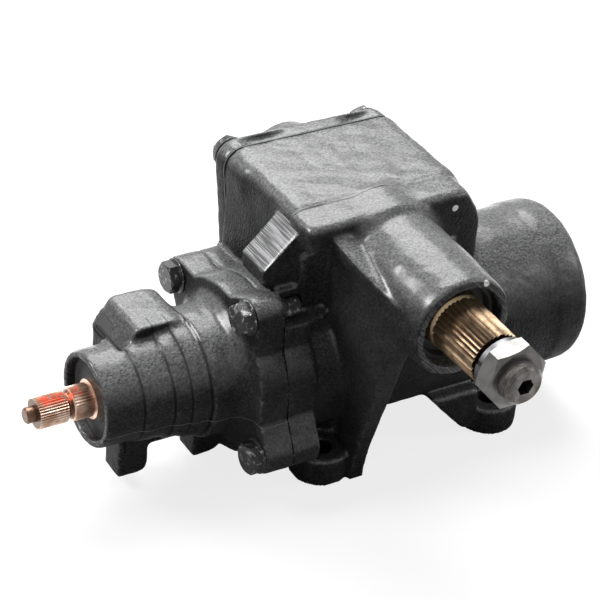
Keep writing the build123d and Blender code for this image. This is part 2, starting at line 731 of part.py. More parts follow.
def valve_bores():
    """Stepped bore of the valve housing, from the mouth to the piston's recess."""
    recess_x = FLANGE_X - PISTON_RECESS_DEPTH
    bearing_end = INPUT_BEARING_X + INPUT_BEARING_LENGTH
    ring_start = snap_ring_x()
    ring_end = ring_start + SNAP_RING_THICKNESS
    seal_end = ring_end + INPUT_SEAL_LENGTH
    return turned_x([
        (MOUTH_X - EPS, 0),
        (MOUTH_X - EPS, MOUTH_BORE),
        (INPUT_SEAL_FACE, MOUTH_BORE),
        (INPUT_SEAL_FACE, INPUT_SEAL_RADIUS),
        (ring_start, INPUT_SEAL_RADIUS),
        (ring_start, INPUT_SEAL_RADIUS + SNAP_RING_GROOVE),
        (ring_end, INPUT_SEAL_RADIUS + SNAP_RING_GROOVE),
        (ring_end, INPUT_SEAL_RADIUS),
        (seal_end, INPUT_SEAL_RADIUS),
        (seal_end, INPUT_BEARING_RADIUS),
        (bearing_end, INPUT_BEARING_RADIUS),
        (bearing_end, SLEEVE_SHOULDER_RADIUS),
        (SLEEVE_BORE_START, SLEEVE_SHOULDER_RADIUS),
        (SLEEVE_BORE_START, SLEEVE_BORE),
        (WORM_BEARING_X, SLEEVE_BORE),
        (WORM_BEARING_X, WORM_BEARING_RADIUS),
        (recess_x, WORM_BEARING_RADIUS),
        (recess_x, PISTON_RECESS_RADIUS),
        (FLANGE_X + EPS, PISTON_RECESS_RADIUS),
        (FLANGE_X + EPS, 0),
    ])


def snap_ring_x():
    return INPUT_SEAL_FACE + SNAP_RING_INSET


def port(x, radius):
    """Threaded port on the block's back face, its spotface and the passage to the valve."""
    face = Plane(origin=(x, PORT_FACE_Y, PORT_Z), z_dir=(0, 1, 0))
    hole = Pos(0, 0, -PORT_DEPTH) * Cylinder(radius, PORT_DEPTH + EPS, align=BASE)
    spot = Cylinder(radius + PORT_SPOT_MARGIN, PORT_SPOT_DEPTH + EPS, align=BASE)
    spot = Pos(0, 0, -PORT_SPOT_DEPTH) * spot
    inside = Plane(origin=(x, 0, PORT_Z - PASSAGE_DROP), z_dir=(0, 1, 0))
    passage = Cylinder(PASSAGE_RADIUS, PORT_FACE_Y - PORT_DEPTH + EPS, align=BASE)
    return face * (hole + spot) + inside * passage


def valve_housing():
    body = valve_nose() + flange_plate(VALVE_FLANGE_X, FLANGE_X)
    body = body + valve_feet() + port_block()
    body = body - valve_bores()
    groove_x = FLANGE_X - 2 * O_RING_SECTION
    groove = ring_x(
        FLANGE_O_RING + O_RING_SECTION, FLANGE_O_RING - O_RING_SECTION, groove_x, FLANGE_X + EPS
    )
    body = body - groove - port(PRESSURE_PORT_X, PRESSURE_PORT_RADIUS)
    body = body - port(RETURN_PORT_X, RETURN_PORT_RADIUS)
    for y, z in ear_places():
        hole = Cylinder(FLANGE_BOLT_RADIUS + FLANGE_BOLT_GAP, VALVE_FLANGE_THICKNESS + 2, align=BASE)
        body = body - WORM_AXIS * Pos(y, z, VALVE_FLANGE_X - 1) * hole
    return body


def flange_bolts():
    length = VALVE_FLANGE_THICKNESS + FLANGE_BOLT_DEPTH - BOLT_END_ROOM
    bolt = hex_bolt(FLANGE_BOLT_RADIUS, length, FLANGE_BOLT_ACROSS, FLANGE_HEAD_HEIGHT)
    return [Plane(origin=(VALVE_FLANGE_X, y, z), z_dir=(-1, 0, 0)) * bolt for y, z in ear_places()]


def flange_o_ring():
    return WORM_AXIS * Pos(0, 0, FLANGE_X - O_RING_SECTION) * Torus(FLANGE_O_RING, O_RING_SECTION)


def rear_end_plug():
    radius = BORE_RADIUS + PLUG_SEAT_STEP
    body = rod_x(radius, PLUG_FRONT, PLUG_REAR)
    middle = (PLUG_FRONT + PLUG_REAR) / 2
    groove = ring_x(
        radius + 1, radius - 2 * O_RING_SECTION, middle - O_RING_SECTION, middle + O_RING_SECTION
    )
    recess = ring_x(radius - PLUG_RIB_WIDTH, PLUG_RIB_WIDTH, PLUG_REAR - PLUG_RECESS_DEPTH, PLUG_REAR + EPS)
    rib = block(
        (PLUG_REAR - PLUG_RECESS_DEPTH, PLUG_REAR),
        (-radius + PLUG_RIB_WIDTH / 2, radius - PLUG_RIB_WIDTH / 2),
        (-PLUG_RIB_WIDTH / 2, PLUG_RIB_WIDTH / 2),
    )
    return body - groove - recess + rib


def plug_o_ring():
    middle = (PLUG_FRONT + PLUG_REAR) / 2
    ring_radius = BORE_RADIUS + PLUG_SEAT_STEP - O_RING_SECTION
    return WORM_AXIS * Pos(0, 0, middle) * Torus(ring_radius, O_RING_SECTION)


def plug_retaining_ring():
    outer = BORE_RADIUS + PLUG_SEAT_STEP + RETAINER_DEPTH
    ring = ring_x(outer, outer - 2 * RETAINER_DEPTH, PLUG_REAR, PLUG_REAR + RETAINER_THICKNESS)
    mouth = block(
        (PLUG_REAR - EPS, PLUG_REAR + RETAINER_THICKNESS + EPS), (-outer / 6, outer / 6), (0, outer + 1)
    )
    return ring - mouth


def side_cover():
    body = cover_slab(COVER_INNER_Y, COVER_OUTER_Y)
    body = fillet(body.faces().sort_by(Axis.Y)[-1].edges(), COVER_EDGE)
    boss = turned_y([
        (COVER_INNER_Y, 0),
        (COVER_INNER_Y, COVER_BOSS_RADIUS),
        (COVER_OUTER_Y, COVER_BOSS_RADIUS),
        (COVER_BOSS_Y - COVER_BOSS_EDGE, COVER_BOSS_TIP),
        (COVER_BOSS_Y, COVER_BOSS_TIP - COVER_BOSS_EDGE),
        (COVER_BOSS_Y, 0),
    ])
    body = body + boss
    for x, z in cover_bolt_places():
        rise = math.degrees(math.atan2(z - SECTOR_HEIGHT, x))
        length = math.hypot(x, z - SECTOR_HEIGHT) - COVER_RIB_END
        rib = Box(
            length, COVER_RIB_THICKNESS, COVER_BOSS_HEIGHT / 2, align=(Align.MIN, Align.CENTER, Align.MIN)
        )
        corner = rib.edges().filter_by(Axis.Y).sort_by(lambda edge: edge.center().X + edge.center().Z)[-1]
        rib = fillet(corner, COVER_RIB_CORNER)
        seat = Plane(origin=(0, COVER_OUTER_Y, SECTOR_HEIGHT), x_dir=(1, 0, 0), z_dir=(0, 1, 0))
        body = body + seat * Rot(0, 0, -rise) * rib
    bore_end = COVER_INNER_Y + COVER_CAVITY_DEPTH
    body = body - rod_y(BACK_JOURNAL_RADIUS + RUNNING_GAP + BUSHING_WALL, COVER_INNER_Y - EPS, bore_end)
    body = body - rod_y(ADJUSTER_RADIUS, bore_end - EPS, COVER_BOSS_Y + EPS)
    for x, z in cover_bolt_places():
        hole = Cylinder(COVER_BOLT_RADIUS + COVER_BOLT_GAP, COVER_THICKNESS + 2, align=BASE)
        body = body - Plane(origin=(x, COVER_INNER_Y - 1, z), z_dir=(0, 1, 0)) * hole
    return body


def side_cover_gasket():
    sheet = cover_slab(COVER_FACE_Y, COVER_INNER_Y)
    opening = CHAMBER_RADIUS + 1
    sheet = sheet - (
        rod_y(opening, COVER_FACE_Y - EPS, COVER_INNER_Y + EPS)
        & block(
            (-opening, opening), (COVER_FACE_Y - 1, COVER_INNER_Y + 1),
            (SECTOR_HEIGHT - opening, SECTOR_HEIGHT + CHAMBER_RISE),
        )
    )
    sheet = sheet - rod_y(HUB_CAVITY_RADIUS, COVER_FACE_Y - EPS, COVER_INNER_Y + EPS)
    for x, z in cover_bolt_places():
        hole = Cylinder(COVER_BOLT_RADIUS + COVER_BOLT_GAP, GASKET_THICKNESS + 1, align=BASE)
        sheet = sheet - Plane(origin=(x, COVER_FACE_Y - EPS, z), z_dir=(0, 1, 0)) * hole
    return sheet


def side_cover_bolts():
    length = COVER_THICKNESS + GASKET_THICKNESS + COVER_BOLT_DEPTH - BOLT_END_ROOM
    bolt = hex_bolt(COVER_BOLT_RADIUS, length, COVER_BOLT_ACROSS, COVER_HEAD_HEIGHT)
    return [Plane(origin=(x, COVER_OUTER_Y, z), z_dir=(0, 1, 0)) * bolt for x, z in cover_bolt_places()]


def cover_bushing():
    inner = BACK_JOURNAL_RADIUS + RUNNING_GAP
    return ring_y(inner + BUSHING_WALL, inner, BUSHING_FRONT_Y, BUSHING_FRONT_Y + BUSHING_LENGTH)


def adjuster_pocket_y():
    return SHAFT_BACK_Y - RETAINER_RING_THICKNESS - ADJUSTER_HEAD_THICKNESS - 2 * ADJUSTER_GAP


def adjuster_screw():
    head_y = adjuster_pocket_y() + ADJUSTER_GAP
    tip_y = head_y + ADJUSTER_LENGTH
    head = rod_y(ADJUSTER_HEAD_RADIUS, head_y, head_y + ADJUSTER_HEAD_THICKNESS)
    stem = chamfer(rod_y(ADJUSTER_RADIUS, head_y, tip_y).edges().group_by(Axis.Y)[-1], ADJUSTER_EDGE)
    slot = Plane(origin=(0, tip_y, SECTOR_HEIGHT), z_dir=(0, 1, 0)) * Box(
        3 * ADJUSTER_RADIUS, ADJUSTER_SLOT_WIDTH, 2 * ADJUSTER_SLOT_DEPTH
    )
    return head + stem - slot


def adjuster_lock_nut():
    nut = hexagon(LOCK_NUT_ACROSS, LOCK_NUT_HEIGHT, ADJUSTER_RADIUS)
    return Plane(origin=(0, COVER_BOSS_Y, SECTOR_HEIGHT), z_dir=(0, 1, 0)) * nut


def adjuster_retainer():
    inner = ADJUSTER_RADIUS + 4 * ADJUSTER_GAP
    return ring_y(ADJUSTER_POCKET_RADIUS, inner, SHAFT_BACK_Y - RETAINER_RING_THICKNESS, SHAFT_BACK_Y)


def sector_bearing_shell():
    inner = JOURNAL_RADIUS + RUNNING_GAP + 2 * ROLLER_RADIUS
    end = BEARING_FRONT_Y + BEARING_LENGTH
    lip = JOURNAL_RADIUS + SHELL_LIP_RISE
    shell = ring_y(BEARING_OUTER_RADIUS, inner, BEARING_FRONT_Y, end)
    shell = shell + ring_y(inner, lip, BEARING_FRONT_Y, BEARING_FRONT_Y + SHELL_LIP)
    return shell + ring_y(inner, lip, end - SHELL_LIP, end)


def sector_bearing_rollers():
    circle = JOURNAL_RADIUS + RUNNING_GAP + ROLLER_RADIUS
    length = BEARING_LENGTH - 2 * (SHELL_LIP + ROLLER_END_GAP)
    roller = Cylinder(ROLLER_RADIUS, length, align=BASE)
    start = BEARING_FRONT_Y + SHELL_LIP + ROLLER_END_GAP
    rollers = []
    for index in range(ROLLER_COUNT):
        angle = index * 360.0 / ROLLER_COUNT
        rollers.append(SECTOR_AXIS * Rot(0, 0, angle) * Pos(circle, 0, start) * roller)
    return rollers


def lip_seal(turned, outer, shaft, closed_end, open_end):
    """Shaft seal with a case, a flexible lip at its closed end and a hollow at its open end."""
    way = 1 if open_end > closed_end else -1
    inner = shaft + RUNNING_GAP
    lip_end = closed_end + way * SEAL_LIP_LENGTH
    back = closed_end + way * SEAL_CASE_WALL / 2
    return turned([
        (closed_end, outer),
        (closed_end, inner),
        (lip_end, inner),
        (lip_end, inner + SEAL_CASE_WALL / 2),
        (back, inner + SEAL_CASE_WALL),
        (back, outer - SEAL_CASE_WALL / 2),
        (open_end, outer - SEAL_CASE_WALL / 2),
        (open_end, outer),
    ])


def seal_retainer_y():
    return SEAL_POCKET_Y - SEAL_LENGTH - SEAL_RING_GAP - RETAINER_THICKNESS


def sector_seal():
    closed_end = SEAL_POCKET_Y - SEAL_LENGTH
    return lip_seal(turned_y, SEAL_POCKET_RADIUS, JOURNAL_RADIUS, closed_end, SEAL_POCKET_Y)


def sector_seal_retainer():
    outer = SEAL_POCKET_RADIUS + RETAINER_DEPTH
    start = seal_retainer_y()
    ring = ring_y(outer, outer - 2 * RETAINER_DEPTH, start, start + RETAINER_THICKNESS)
    mouth = block(
        (-outer / 6, outer / 6), (start - 1, start + RETAINER_THICKNESS + 1), (0, SECTOR_HEIGHT)
    )
    return ring - mouth


def sector_dust_seal():
    face = TUBE_MOUTH_Y + DUST_SEAL_INSET
    return lip_seal(turned_y, SEAL_POCKET_RADIUS, JOURNAL_RADIUS, face + DUST_SEAL_LENGTH, face)


def involute(angle):
    return math.tan(angle) - angle


def sector_tooth(middle):
    """Outline points of one tooth, its middle at the given angle from straight down."""
    pressure = math.radians(PRESSURE_ANGLE)
    base_radius = PITCH_RADIUS * math.cos(pressure)
    half_at_pitch = (TOOTH_PITCH / 2 - BACKLASH / 2) / (2 * PITCH_RADIUS)
    flank = [(ROOT_RADIUS, half_at_pitch + involute(pressure))]
    for step in range(INVOLUTE_STEPS + 1):
        radius = base_radius + (TIP_RADIUS - base_radius) * step / INVOLUTE_STEPS
        at_radius = math.acos(min(1.0, base_radius / radius))
        flank.append((radius, half_at_pitch + involute(pressure) - involute(at_radius)))
    points = []
    for radius, half in flank:
        points.append((radius, middle - half))
    for radius, half in reversed(flank):
        points.append((radius, middle + half))
    return [(radius * math.sin(angle), radius * math.cos(angle)) for radius, angle in points]


def sector_gear():
    """Five involute teeth that face down to the rack, on a hub."""
    points = []
    edge = math.radians(TOOTH_ANGLE * SECTOR_TEETH / 2)
    side = edge + math.radians(SECTOR_FLANK_SPREAD)
    points.append((0, 0))
    points.append((-SECTOR_HUB_RADIUS * math.sin(side), SECTOR_HUB_RADIUS * math.cos(side)))
    points.append((-ROOT_RADIUS * math.sin(edge), ROOT_RADIUS * math.cos(edge)))
    for index in range(SECTOR_TEETH):
        middle = math.radians((index - (SECTOR_TEETH - 1) / 2) * TOOTH_ANGLE)
        points += sector_tooth(middle)
    points.append((ROOT_RADIUS * math.sin(edge), ROOT_RADIUS * math.cos(edge)))
    points.append((SECTOR_HUB_RADIUS * math.sin(side), SECTOR_HUB_RADIUS * math.cos(side)))
    teeth = extrude(make_face(Polyline(*points, close=True)), GEAR_FACE)
    hub = rod_y(SECTOR_HUB_RADIUS, -SECTOR_HUB_REACH, SECTOR_HUB_REACH)
    return SECTOR_AXIS * Pos(0, 0, -GEAR_FACE / 2) * teeth + hub


def sector_shaft():
    body = turned_y([
        (SHAFT_TIP_Y, 0),
        (SHAFT_TIP_Y, THREAD_RADIUS - TIP_CHAMFER),
        (SHAFT_TIP_Y + TIP_CHAMFER, THREAD_RADIUS),
        (SPLINE_END_Y, THREAD_RADIUS),
        (SPLINE_START_Y, THREAD_RADIUS),
        (SPLINE_START_Y, SPLINE_ROOT_RADIUS - SERRATION_DEPTH),
        (JOURNAL_END_Y, JOURNAL_RADIUS),
        (-SECTOR_HUB_REACH, JOURNAL_RADIUS),
        (-SECTOR_HUB_REACH, SECTOR_HUB_RADIUS - 1),
        (SECTOR_HUB_REACH, SECTOR_HUB_RADIUS - 1),
        (SECTOR_HUB_REACH, BACK_JOURNAL_RADIUS),
        (SHAFT_BACK_Y - 1, BACK_JOURNAL_RADIUS),
        (SHAFT_BACK_Y, BACK_JOURNAL_RADIUS - 1),
        (SHAFT_BACK_Y, 0),
    ])
    small = serrated(SPLINE_SMALL_RADIUS, SERRATION_DEPTH, SERRATIONS, MASTER_SERRATIONS)
    large = serrated(SPLINE_ROOT_RADIUS, SERRATION_DEPTH, SERRATIONS, MASTER_SERRATIONS)
    serrations = loft(
        [
            SECTOR_AXIS * Pos(0, 0, SPLINE_END_Y) * make_face(small),
            SECTOR_AXIS * Pos(0, 0, SPLINE_START_Y) * make_face(large),
        ],
        ruled=True,
    )
    body = body + sector_gear() + serrations
    body = body - rod_y(ADJUSTER_POCKET_RADIUS, adjuster_pocket_y(), SHAFT_BACK_Y + EPS)
    socket = extrude(RegularPolygon(TIP_SOCKET_ACROSS / 2, 6, major_radius=False), TIP_SOCKET_DEPTH)
    return body - SECTOR_AXIS * Pos(0, 0, SHAFT_TIP_Y) * socket


def pitman_nut():
    nut = hexagon(NUT_ACROSS, NUT_HEIGHT, THREAD_RADIUS + NUT_GAP)
    return Plane(origin=(0, NUT_FRONT_Y + NUT_HEIGHT, SECTOR_HEIGHT), z_dir=(0, -1, 0)) * nut


def pitman_washer():
    back = NUT_FRONT_Y + NUT_HEIGHT + WASHER_THICKNESS
    washer = ring_y(WASHER_RADIUS, WASHER_BORE, back - WASHER_THICKNESS, back)
    slit = Rot(WASHER_SLIT_TILT, 0, 0) * Box(2 * WASHER_BORE, WASHER_SLIT, 4 * WASHER_THICKNESS)
    at = Rot(0, 0, WASHER_SLIT_ANGLE) * Pos(WASHER_RADIUS, 0, back)
    return washer - SECTOR_AXIS * at * slit


def rack_cuts():
    """Spaces between the rack's straight-sided teeth and the flat above them."""
    slope = math.tan(math.radians(PRESSURE_ANGLE))
    root_z = RACK_PITCH_HEIGHT - DEDENDUM
    top_z = BORE_RADIUS + 1
    half_at_pitch = (TOOTH_PITCH / 2 + BACKLASH / 2) / 2
    half_root = half_at_pitch - DEDENDUM * slope
    half_top = half_at_pitch + (top_z - RACK_PITCH_HEIGHT) * slope
    cuts = Part()
    for index in range(RACK_TEETH + 1):
        middle = (index - RACK_TEETH / 2) * TOOTH_PITCH
        outline = Polyline(
            (middle - half_top, top_z),
            (middle - half_root, root_z),
            (middle + half_root, root_z),
            (middle + half_top, top_z),
            close=True,
        )
        cuts += slab_xz(outline, -BORE_RADIUS, BORE_RADIUS)
    last = RACK_TEETH / 2 * TOOTH_PITCH
    flat = block(
        (PISTON_FRONT - 1, last), (-BORE_RADIUS, BORE_RADIUS), (RACK_PITCH_HEIGHT + ADDENDUM, top_z)
    )
    return cuts + flat


def guide_legs():
    """X and Y of the two legs of the ball guide, tangent to the ball circle."""
    return ((CIRCUIT_X, BALL_CIRCLE), (CIRCUIT_X + CIRCUIT_TURNS * LEAD, -BALL_CIRCLE))


def guide_path():
    (x_one, y_one), (x_two, y_two) = guide_legs()
    return FilletPolyline(
        (x_one, y_one, guide_end_z()),
        (x_one, y_one, GUIDE_AXIS_Z),
        (x_two, y_two, GUIDE_AXIS_Z),
        (x_two, y_two, guide_end_z()),
        radius=GUIDE_BEND,
    )


def guide_end_z():
    """Height at which the guide's tubes end, just clear of the worm."""
    inner = BALL_CIRCLE - GUIDE_RADIUS
    return -math.sqrt(NUT_BORE ** 2 - inner ** 2) - GUIDE_END_GAP


def guide_plane():
    """Upright plane through both legs of the guide."""
    (x_one, y_one), (x_two, y_two) = guide_legs()
    return Plane(
        origin=((x_one + x_two) / 2, (y_one + y_two) / 2, GUIDE_AXIS_Z),
        x_dir=(x_two - x_one, y_two - y_one, 0),
        z_dir=(y_two - y_one, x_one - x_two, 0),
    )


def guide_tube(radius):
    path = guide_path()
    return sweep(Plane(origin=path @ 0, z_dir=path % 0) * Circle(radius), path)


def piston_bottom_cuts():
    """Milled flat for the ball guide, its bed, the guide's holes and the strap's screw holes."""
    (x_one, _), (x_two, _) = guide_legs()
    cuts = block(
        (x_one - GUIDE_FLAT_MARGIN, x_two + GUIDE_FLAT_MARGIN),
        (-BORE_RADIUS, BORE_RADIUS),
        (-BORE_RADIUS - 1, GUIDE_FLAT_Z),
    )
    cuts += guide_tube(GUIDE_RADIUS + RUNNING_GAP)
    for x, y in guide_legs():
        way_in = Cylinder(GROOVE_RADIUS + GROOVE_GAP, 2 - guide_end_z(), align=BASE)
        cuts += Pos(x, y, guide_end_z() - 1) * way_in
        corner = Cylinder(GUIDE_RADIUS + RUNNING_GAP, guide_end_z() - GUIDE_AXIS_Z, align=BASE)
        cuts += Pos(x, y, GUIDE_AXIS_Z) * corner
    for place in strap_screw_places():
        cuts += place * Pos(0, 0, -EPS) * Cylinder(STRAP_SCREW_RADIUS, STRAP_SCREW_LENGTH + 1, align=BASE)
    return cuts


def strap_screw_places():
    """Planes of the strap's two screws, +Z into the piston."""
    reach = GUIDE_RADIUS + STRAP_THICKNESS + STRAP_FOOT / 2
    places = []
    for side in (-1, 1):
        frame = guide_plane() * Pos(0, 0, side * reach)
        at = frame.position
        places.append(Plane(origin=(at.X, at.Y, GUIDE_FLAT_Z), z_dir=(0, 0, 1)))
    return places


def rack_piston():
    body = rod_x(PISTON_RADIUS, PISTON_FRONT, PISTON_REAR)
    body = chamfer(body.edges().group_by(Axis.X)[-1], PISTON_EDGE)
    body = body - rod_x(NUT_BORE, PISTON_FRONT - EPS, PISTON_REAR + EPS) - ball_groove(0, CIRCUIT_TURNS)
    body = body - rack_cuts() - piston_bottom_cuts()
    body = body - ring_x(BORE_RADIUS + 1, ring_floor(), RING_GROOVE_X, RING_GROOVE_X + RING_WIDTH)
    return body - rod_x(PISTON_PLUG_RADIUS, PISTON_REAR - PLUG_THREAD_DEPTH, PISTON_REAR + EPS)


def ring_floor():
    return BORE_RADIUS - RING_GAP - RING_THICKNESS - RING_BACKING


def piston_ring():
    outer = BORE_RADIUS - RING_GAP
    return ring_x(outer, outer - RING_THICKNESS, RING_GROOVE_X, RING_GROOVE_X + RING_WIDTH)


def piston_ring_backing():
    floor = ring_floor()
    return ring_x(floor + RING_BACKING, floor, RING_GROOVE_X, RING_GROOVE_X + RING_WIDTH)


def piston_plug():
    plug = rod_x(PISTON_PLUG_RADIUS, PISTON_REAR - PLUG_THREAD_DEPTH, PISTON_REAR)
    socket = extrude(RegularPolygon(NUT_BORE / 2, 6, major_radius=False), PLUG_THREAD_DEPTH)
    return plug - WORM_AXIS * Pos(0, 0, PISTON_REAR - PLUG_THREAD_DEPTH / 2) * socket


def balls():
    """Balls in the helical circuit and in the return guide."""
    ball = Sphere(BALL_RADIUS)
    out = []
    for index in range(CIRCUIT_BALLS):
        turn = CIRCUIT_TURNS * (index + 0.5) / CIRCUIT_BALLS
        at = Rot(0, 0, 360.0 * turn) * Pos(BALL_CIRCLE, 0, CIRCUIT_X + LEAD * turn)
        out.append(WORM_AXIS * at * ball)
    path = guide_path()
    for index in range(GUIDE_BALLS):
        out.append(Pos(path @ ((index + 0.5) / GUIDE_BALLS)) * ball)
    return out


def ball_guide_halves():
    """The return guide, split down its middle plane into two pressed halves."""
    tube = guide_tube(GUIDE_RADIUS) - guide_tube(GROOVE_RADIUS)
    return list(split(tube, bisect_by=guide_plane(), keep=Keep.BOTH).solids())


def guide_strap():
    """Strap over the guide, with a foot on the piston's flat at each side."""
    inner = GUIDE_RADIUS
    outer = GUIDE_RADIUS + STRAP_THICKNESS
    drop = GUIDE_FLAT_Z - GUIDE_AXIS_Z
    arch = Circle(outer) - Circle(inner)
    arch = arch & Pos(0, -outer / 2 + drop / 2, 0) * Rectangle(2 * outer, outer + drop)
    feet = Rectangle(2 * (outer + STRAP_FOOT), STRAP_THICKNESS)
    feet = feet - Rectangle(2 * inner + STRAP_THICKNESS, outer)
    outline = arch + Pos(0, drop - STRAP_THICKNESS / 2, 0) * feet
    frame = guide_plane()
    across = Plane(origin=frame.origin, x_dir=frame.z_dir, z_dir=-frame.x_dir)
    strap = extrude(across * Pos(0, 0, -STRAP_WIDTH / 2) * outline, STRAP_WIDTH)
    for place in strap_screw_places():
        strap = strap - place * Pos(0, 0, -2 * STRAP_THICKNESS) * Cylinder(
            STRAP_SCREW_RADIUS, 3 * STRAP_THICKNESS, align=BASE
        )
    return strap


def strap_screws():
    screws = []
    shank = Cylinder(STRAP_SCREW_RADIUS, STRAP_SCREW_LENGTH + STRAP_THICKNESS, align=BASE)
    head = Pos(0, 0, -STRAP_HEAD_HEIGHT) * Cylinder(STRAP_HEAD_RADIUS, STRAP_HEAD_HEIGHT, align=BASE)
    for place in strap_screw_places():
        screws.append(place * Pos(0, 0, -STRAP_THICKNESS) * (shank + head))
    return screws


def worm():
    head_x = WORM_BEARING_X - WORM_HEAD_LENGTH
    thread = rod_x(WORM_RADIUS, WORM_FRONT_THREAD - LEAD, WORM_TIP + LEAD)
    thread = thread - ball_groove(-WORM_TURNS_BEFORE, WORM_TURNS_AFTER)
    thread = thread & rod_x(WORM_RADIUS + 1, WORM_FRONT_THREAD - 1, WORM_TIP)
    body = turned_x([
        (head_x, 0),
        (head_x, SPOOL_RADIUS),
        (WORM_BEARING_X, SPOOL_RADIUS),
        (WORM_BEARING_X, WORM_SEAT_RADIUS),
        (WORM_SEAT_END, WORM_SEAT_RADIUS),
        (WORM_SEAT_END, WORM_SHOULDER_RADIUS),
        (WORM_SEAT_END + WORM_SHOULDER_WIDTH, WORM_SHOULDER_RADIUS),
        (WORM_SEAT_END + WORM_SHOULDER_WIDTH, WORM_NECK_RADIUS),
        (WORM_FRONT_THREAD - 1, WORM_NECK_RADIUS),
        (WORM_FRONT_THREAD - 1, 0),
    ])
    slot = Circle(BAR_HOLE_RADIUS + 1)
    for turn in (-TWIST_ROOM, 0, TWIST_ROOM):
        flanks = Rectangle(3 * TONGUE_RADIUS, TONGUE_WIDTH + TONGUE_GAP)
        slot += (Rot(0, 0, turn) * flanks) & Circle(TONGUE_TIP_RADIUS + TONGUE_GAP / 2)
    body = body - WORM_AXIS * Pos(0, 0, head_x - EPS) * extrude(slot, CUP_DEPTH)
    body = body - pin_x(LOWER_PIN_X, WORM_NECK_RADIUS + 1) - sleeve_pin()
    bar_hole = rod_x(BAR_HOLE_RADIUS, head_x, BAR_END_X + 1)
    return (body - bar_hole) + (thread - bar_hole)


def pin_x(x, half_length, radius=PIN_RADIUS):
    """Upright pin across the worm axis."""
    return Pos(x, 0, -half_length) * Cylinder(radius, 2 * half_length, align=BASE)


def sleeve_pin():
    inner = math.hypot(TONGUE_RADIUS, TONGUE_WIDTH / 2) + TONGUE_GAP
    length = SLEEVE_BORE - SLEEVE_RING_DEPTH - inner
    return Pos(SLEEVE_PIN_X, 0, inner) * Cylinder(PIN_RADIUS, length, align=BASE)


def lower_bar_pin():
    return pin_x(LOWER_PIN_X, WORM_NECK_RADIUS - PIN_INSET)


def valve_sleeve():
    outer = SLEEVE_BORE - RUNNING_GAP
    body = ring_x(outer, SPOOL_RADIUS, SLEEVE_START, SLEEVE_END)
    pitch = SLEEVE_LENGTH / SLEEVE_RINGS
    for index in range(SLEEVE_RINGS):
        middle = SLEEVE_START + (index + 0.5) * pitch
        body = body - ring_x(
            outer + 1, outer - SLEEVE_RING_DEPTH, middle - SLEEVE_RING_WIDTH / 2, middle + SLEEVE_RING_WIDTH / 2
        )
    drill = Rot(0, 90, 0) * Cylinder(SLEEVE_HOLE_RADIUS, SLEEVE_BORE, align=BASE)
    for index in range(SPOOL_SLOTS):
        at = Rot(0, 0, index * 360.0 / SPOOL_SLOTS) * Pos(0, 0, SLEEVE_START + pitch)
        body = body - WORM_AXIS * at * drill
    return body - sleeve_pin()


def sleeve_rings():
    """Seal rings of the valve sleeve."""
    outer = SLEEVE_BORE - VALVE_GAP
    floor = SLEEVE_BORE - RUNNING_GAP - SLEEVE_RING_DEPTH
    pitch = SLEEVE_LENGTH / SLEEVE_RINGS
    rings = []
    for index in range(SLEEVE_RINGS):
        middle = SLEEVE_START + (index + 0.5) * pitch
        start = middle - SLEEVE_RING_WIDTH / 2
        rings.append(ring_x(outer, floor, start, start + SLEEVE_RING_WIDTH))
    return rings


def bearing_race_radii():
    """Radii of the worm bearing: ball circle, outer race's inside and inner race's outside."""
    inner_race = WORM_SEAT_RADIUS + INNER_RACE_WALL
    outer_race = WORM_BEARING_RADIUS - OUTER_RACE_WALL
    return (inner_race + outer_race) / 2, outer_race, inner_race


def worm_bearing_track():
    circle, _, _ = bearing_race_radii()
    middle = WORM_BEARING_X + WORM_BEARING_WIDTH / 2
    return WORM_AXIS * Pos(0, 0, middle) * Torus(circle, WORM_BEARING_BALL + RUNNING_GAP)


def worm_bearing_outer_race():
    _, outer_race, _ = bearing_race_radii()
    return ring_x(WORM_BEARING_RADIUS, outer_race, WORM_BEARING_X, WORM_SEAT_END) - worm_bearing_track()


def worm_bearing_inner_race():
    _, _, inner_race = bearing_race_radii()
    return ring_x(inner_race, WORM_SEAT_RADIUS, WORM_BEARING_X, WORM_SEAT_END) - worm_bearing_track()


def worm_bearing_balls():
    circle, _, _ = bearing_race_radii()
    middle = WORM_BEARING_X + WORM_BEARING_WIDTH / 2
    out = []
    for index in range(WORM_BEARING_BALLS):
        turn = Rot(0, 0, index * 360.0 / WORM_BEARING_BALLS)
        out.append(WORM_AXIS * turn * Pos(circle, 0, middle) * Sphere(WORM_BEARING_BALL))
    return out


def bearing_nut():
    """Threaded ring that preloads the worm bearing, with spanner slots."""
    end = WORM_SEAT_END + BEARING_NUT_WIDTH
    ring = ring_x(WORM_BEARING_RADIUS, BEARING_NUT_BORE, WORM_SEAT_END, end)
    slot = Box(2 * BEARING_NUT_SLOT_DEPTH, BEARING_NUT_SLOT_WIDTH, BEARING_NUT_WIDTH)
    for index in range(BEARING_NUT_SLOTS):
        turn = Rot(0, 0, (index + 0.5) * 360.0 / BEARING_NUT_SLOTS)
        ring = ring - WORM_AXIS * turn * Pos(WORM_BEARING_RADIUS, 0, end) * slot
    return ring


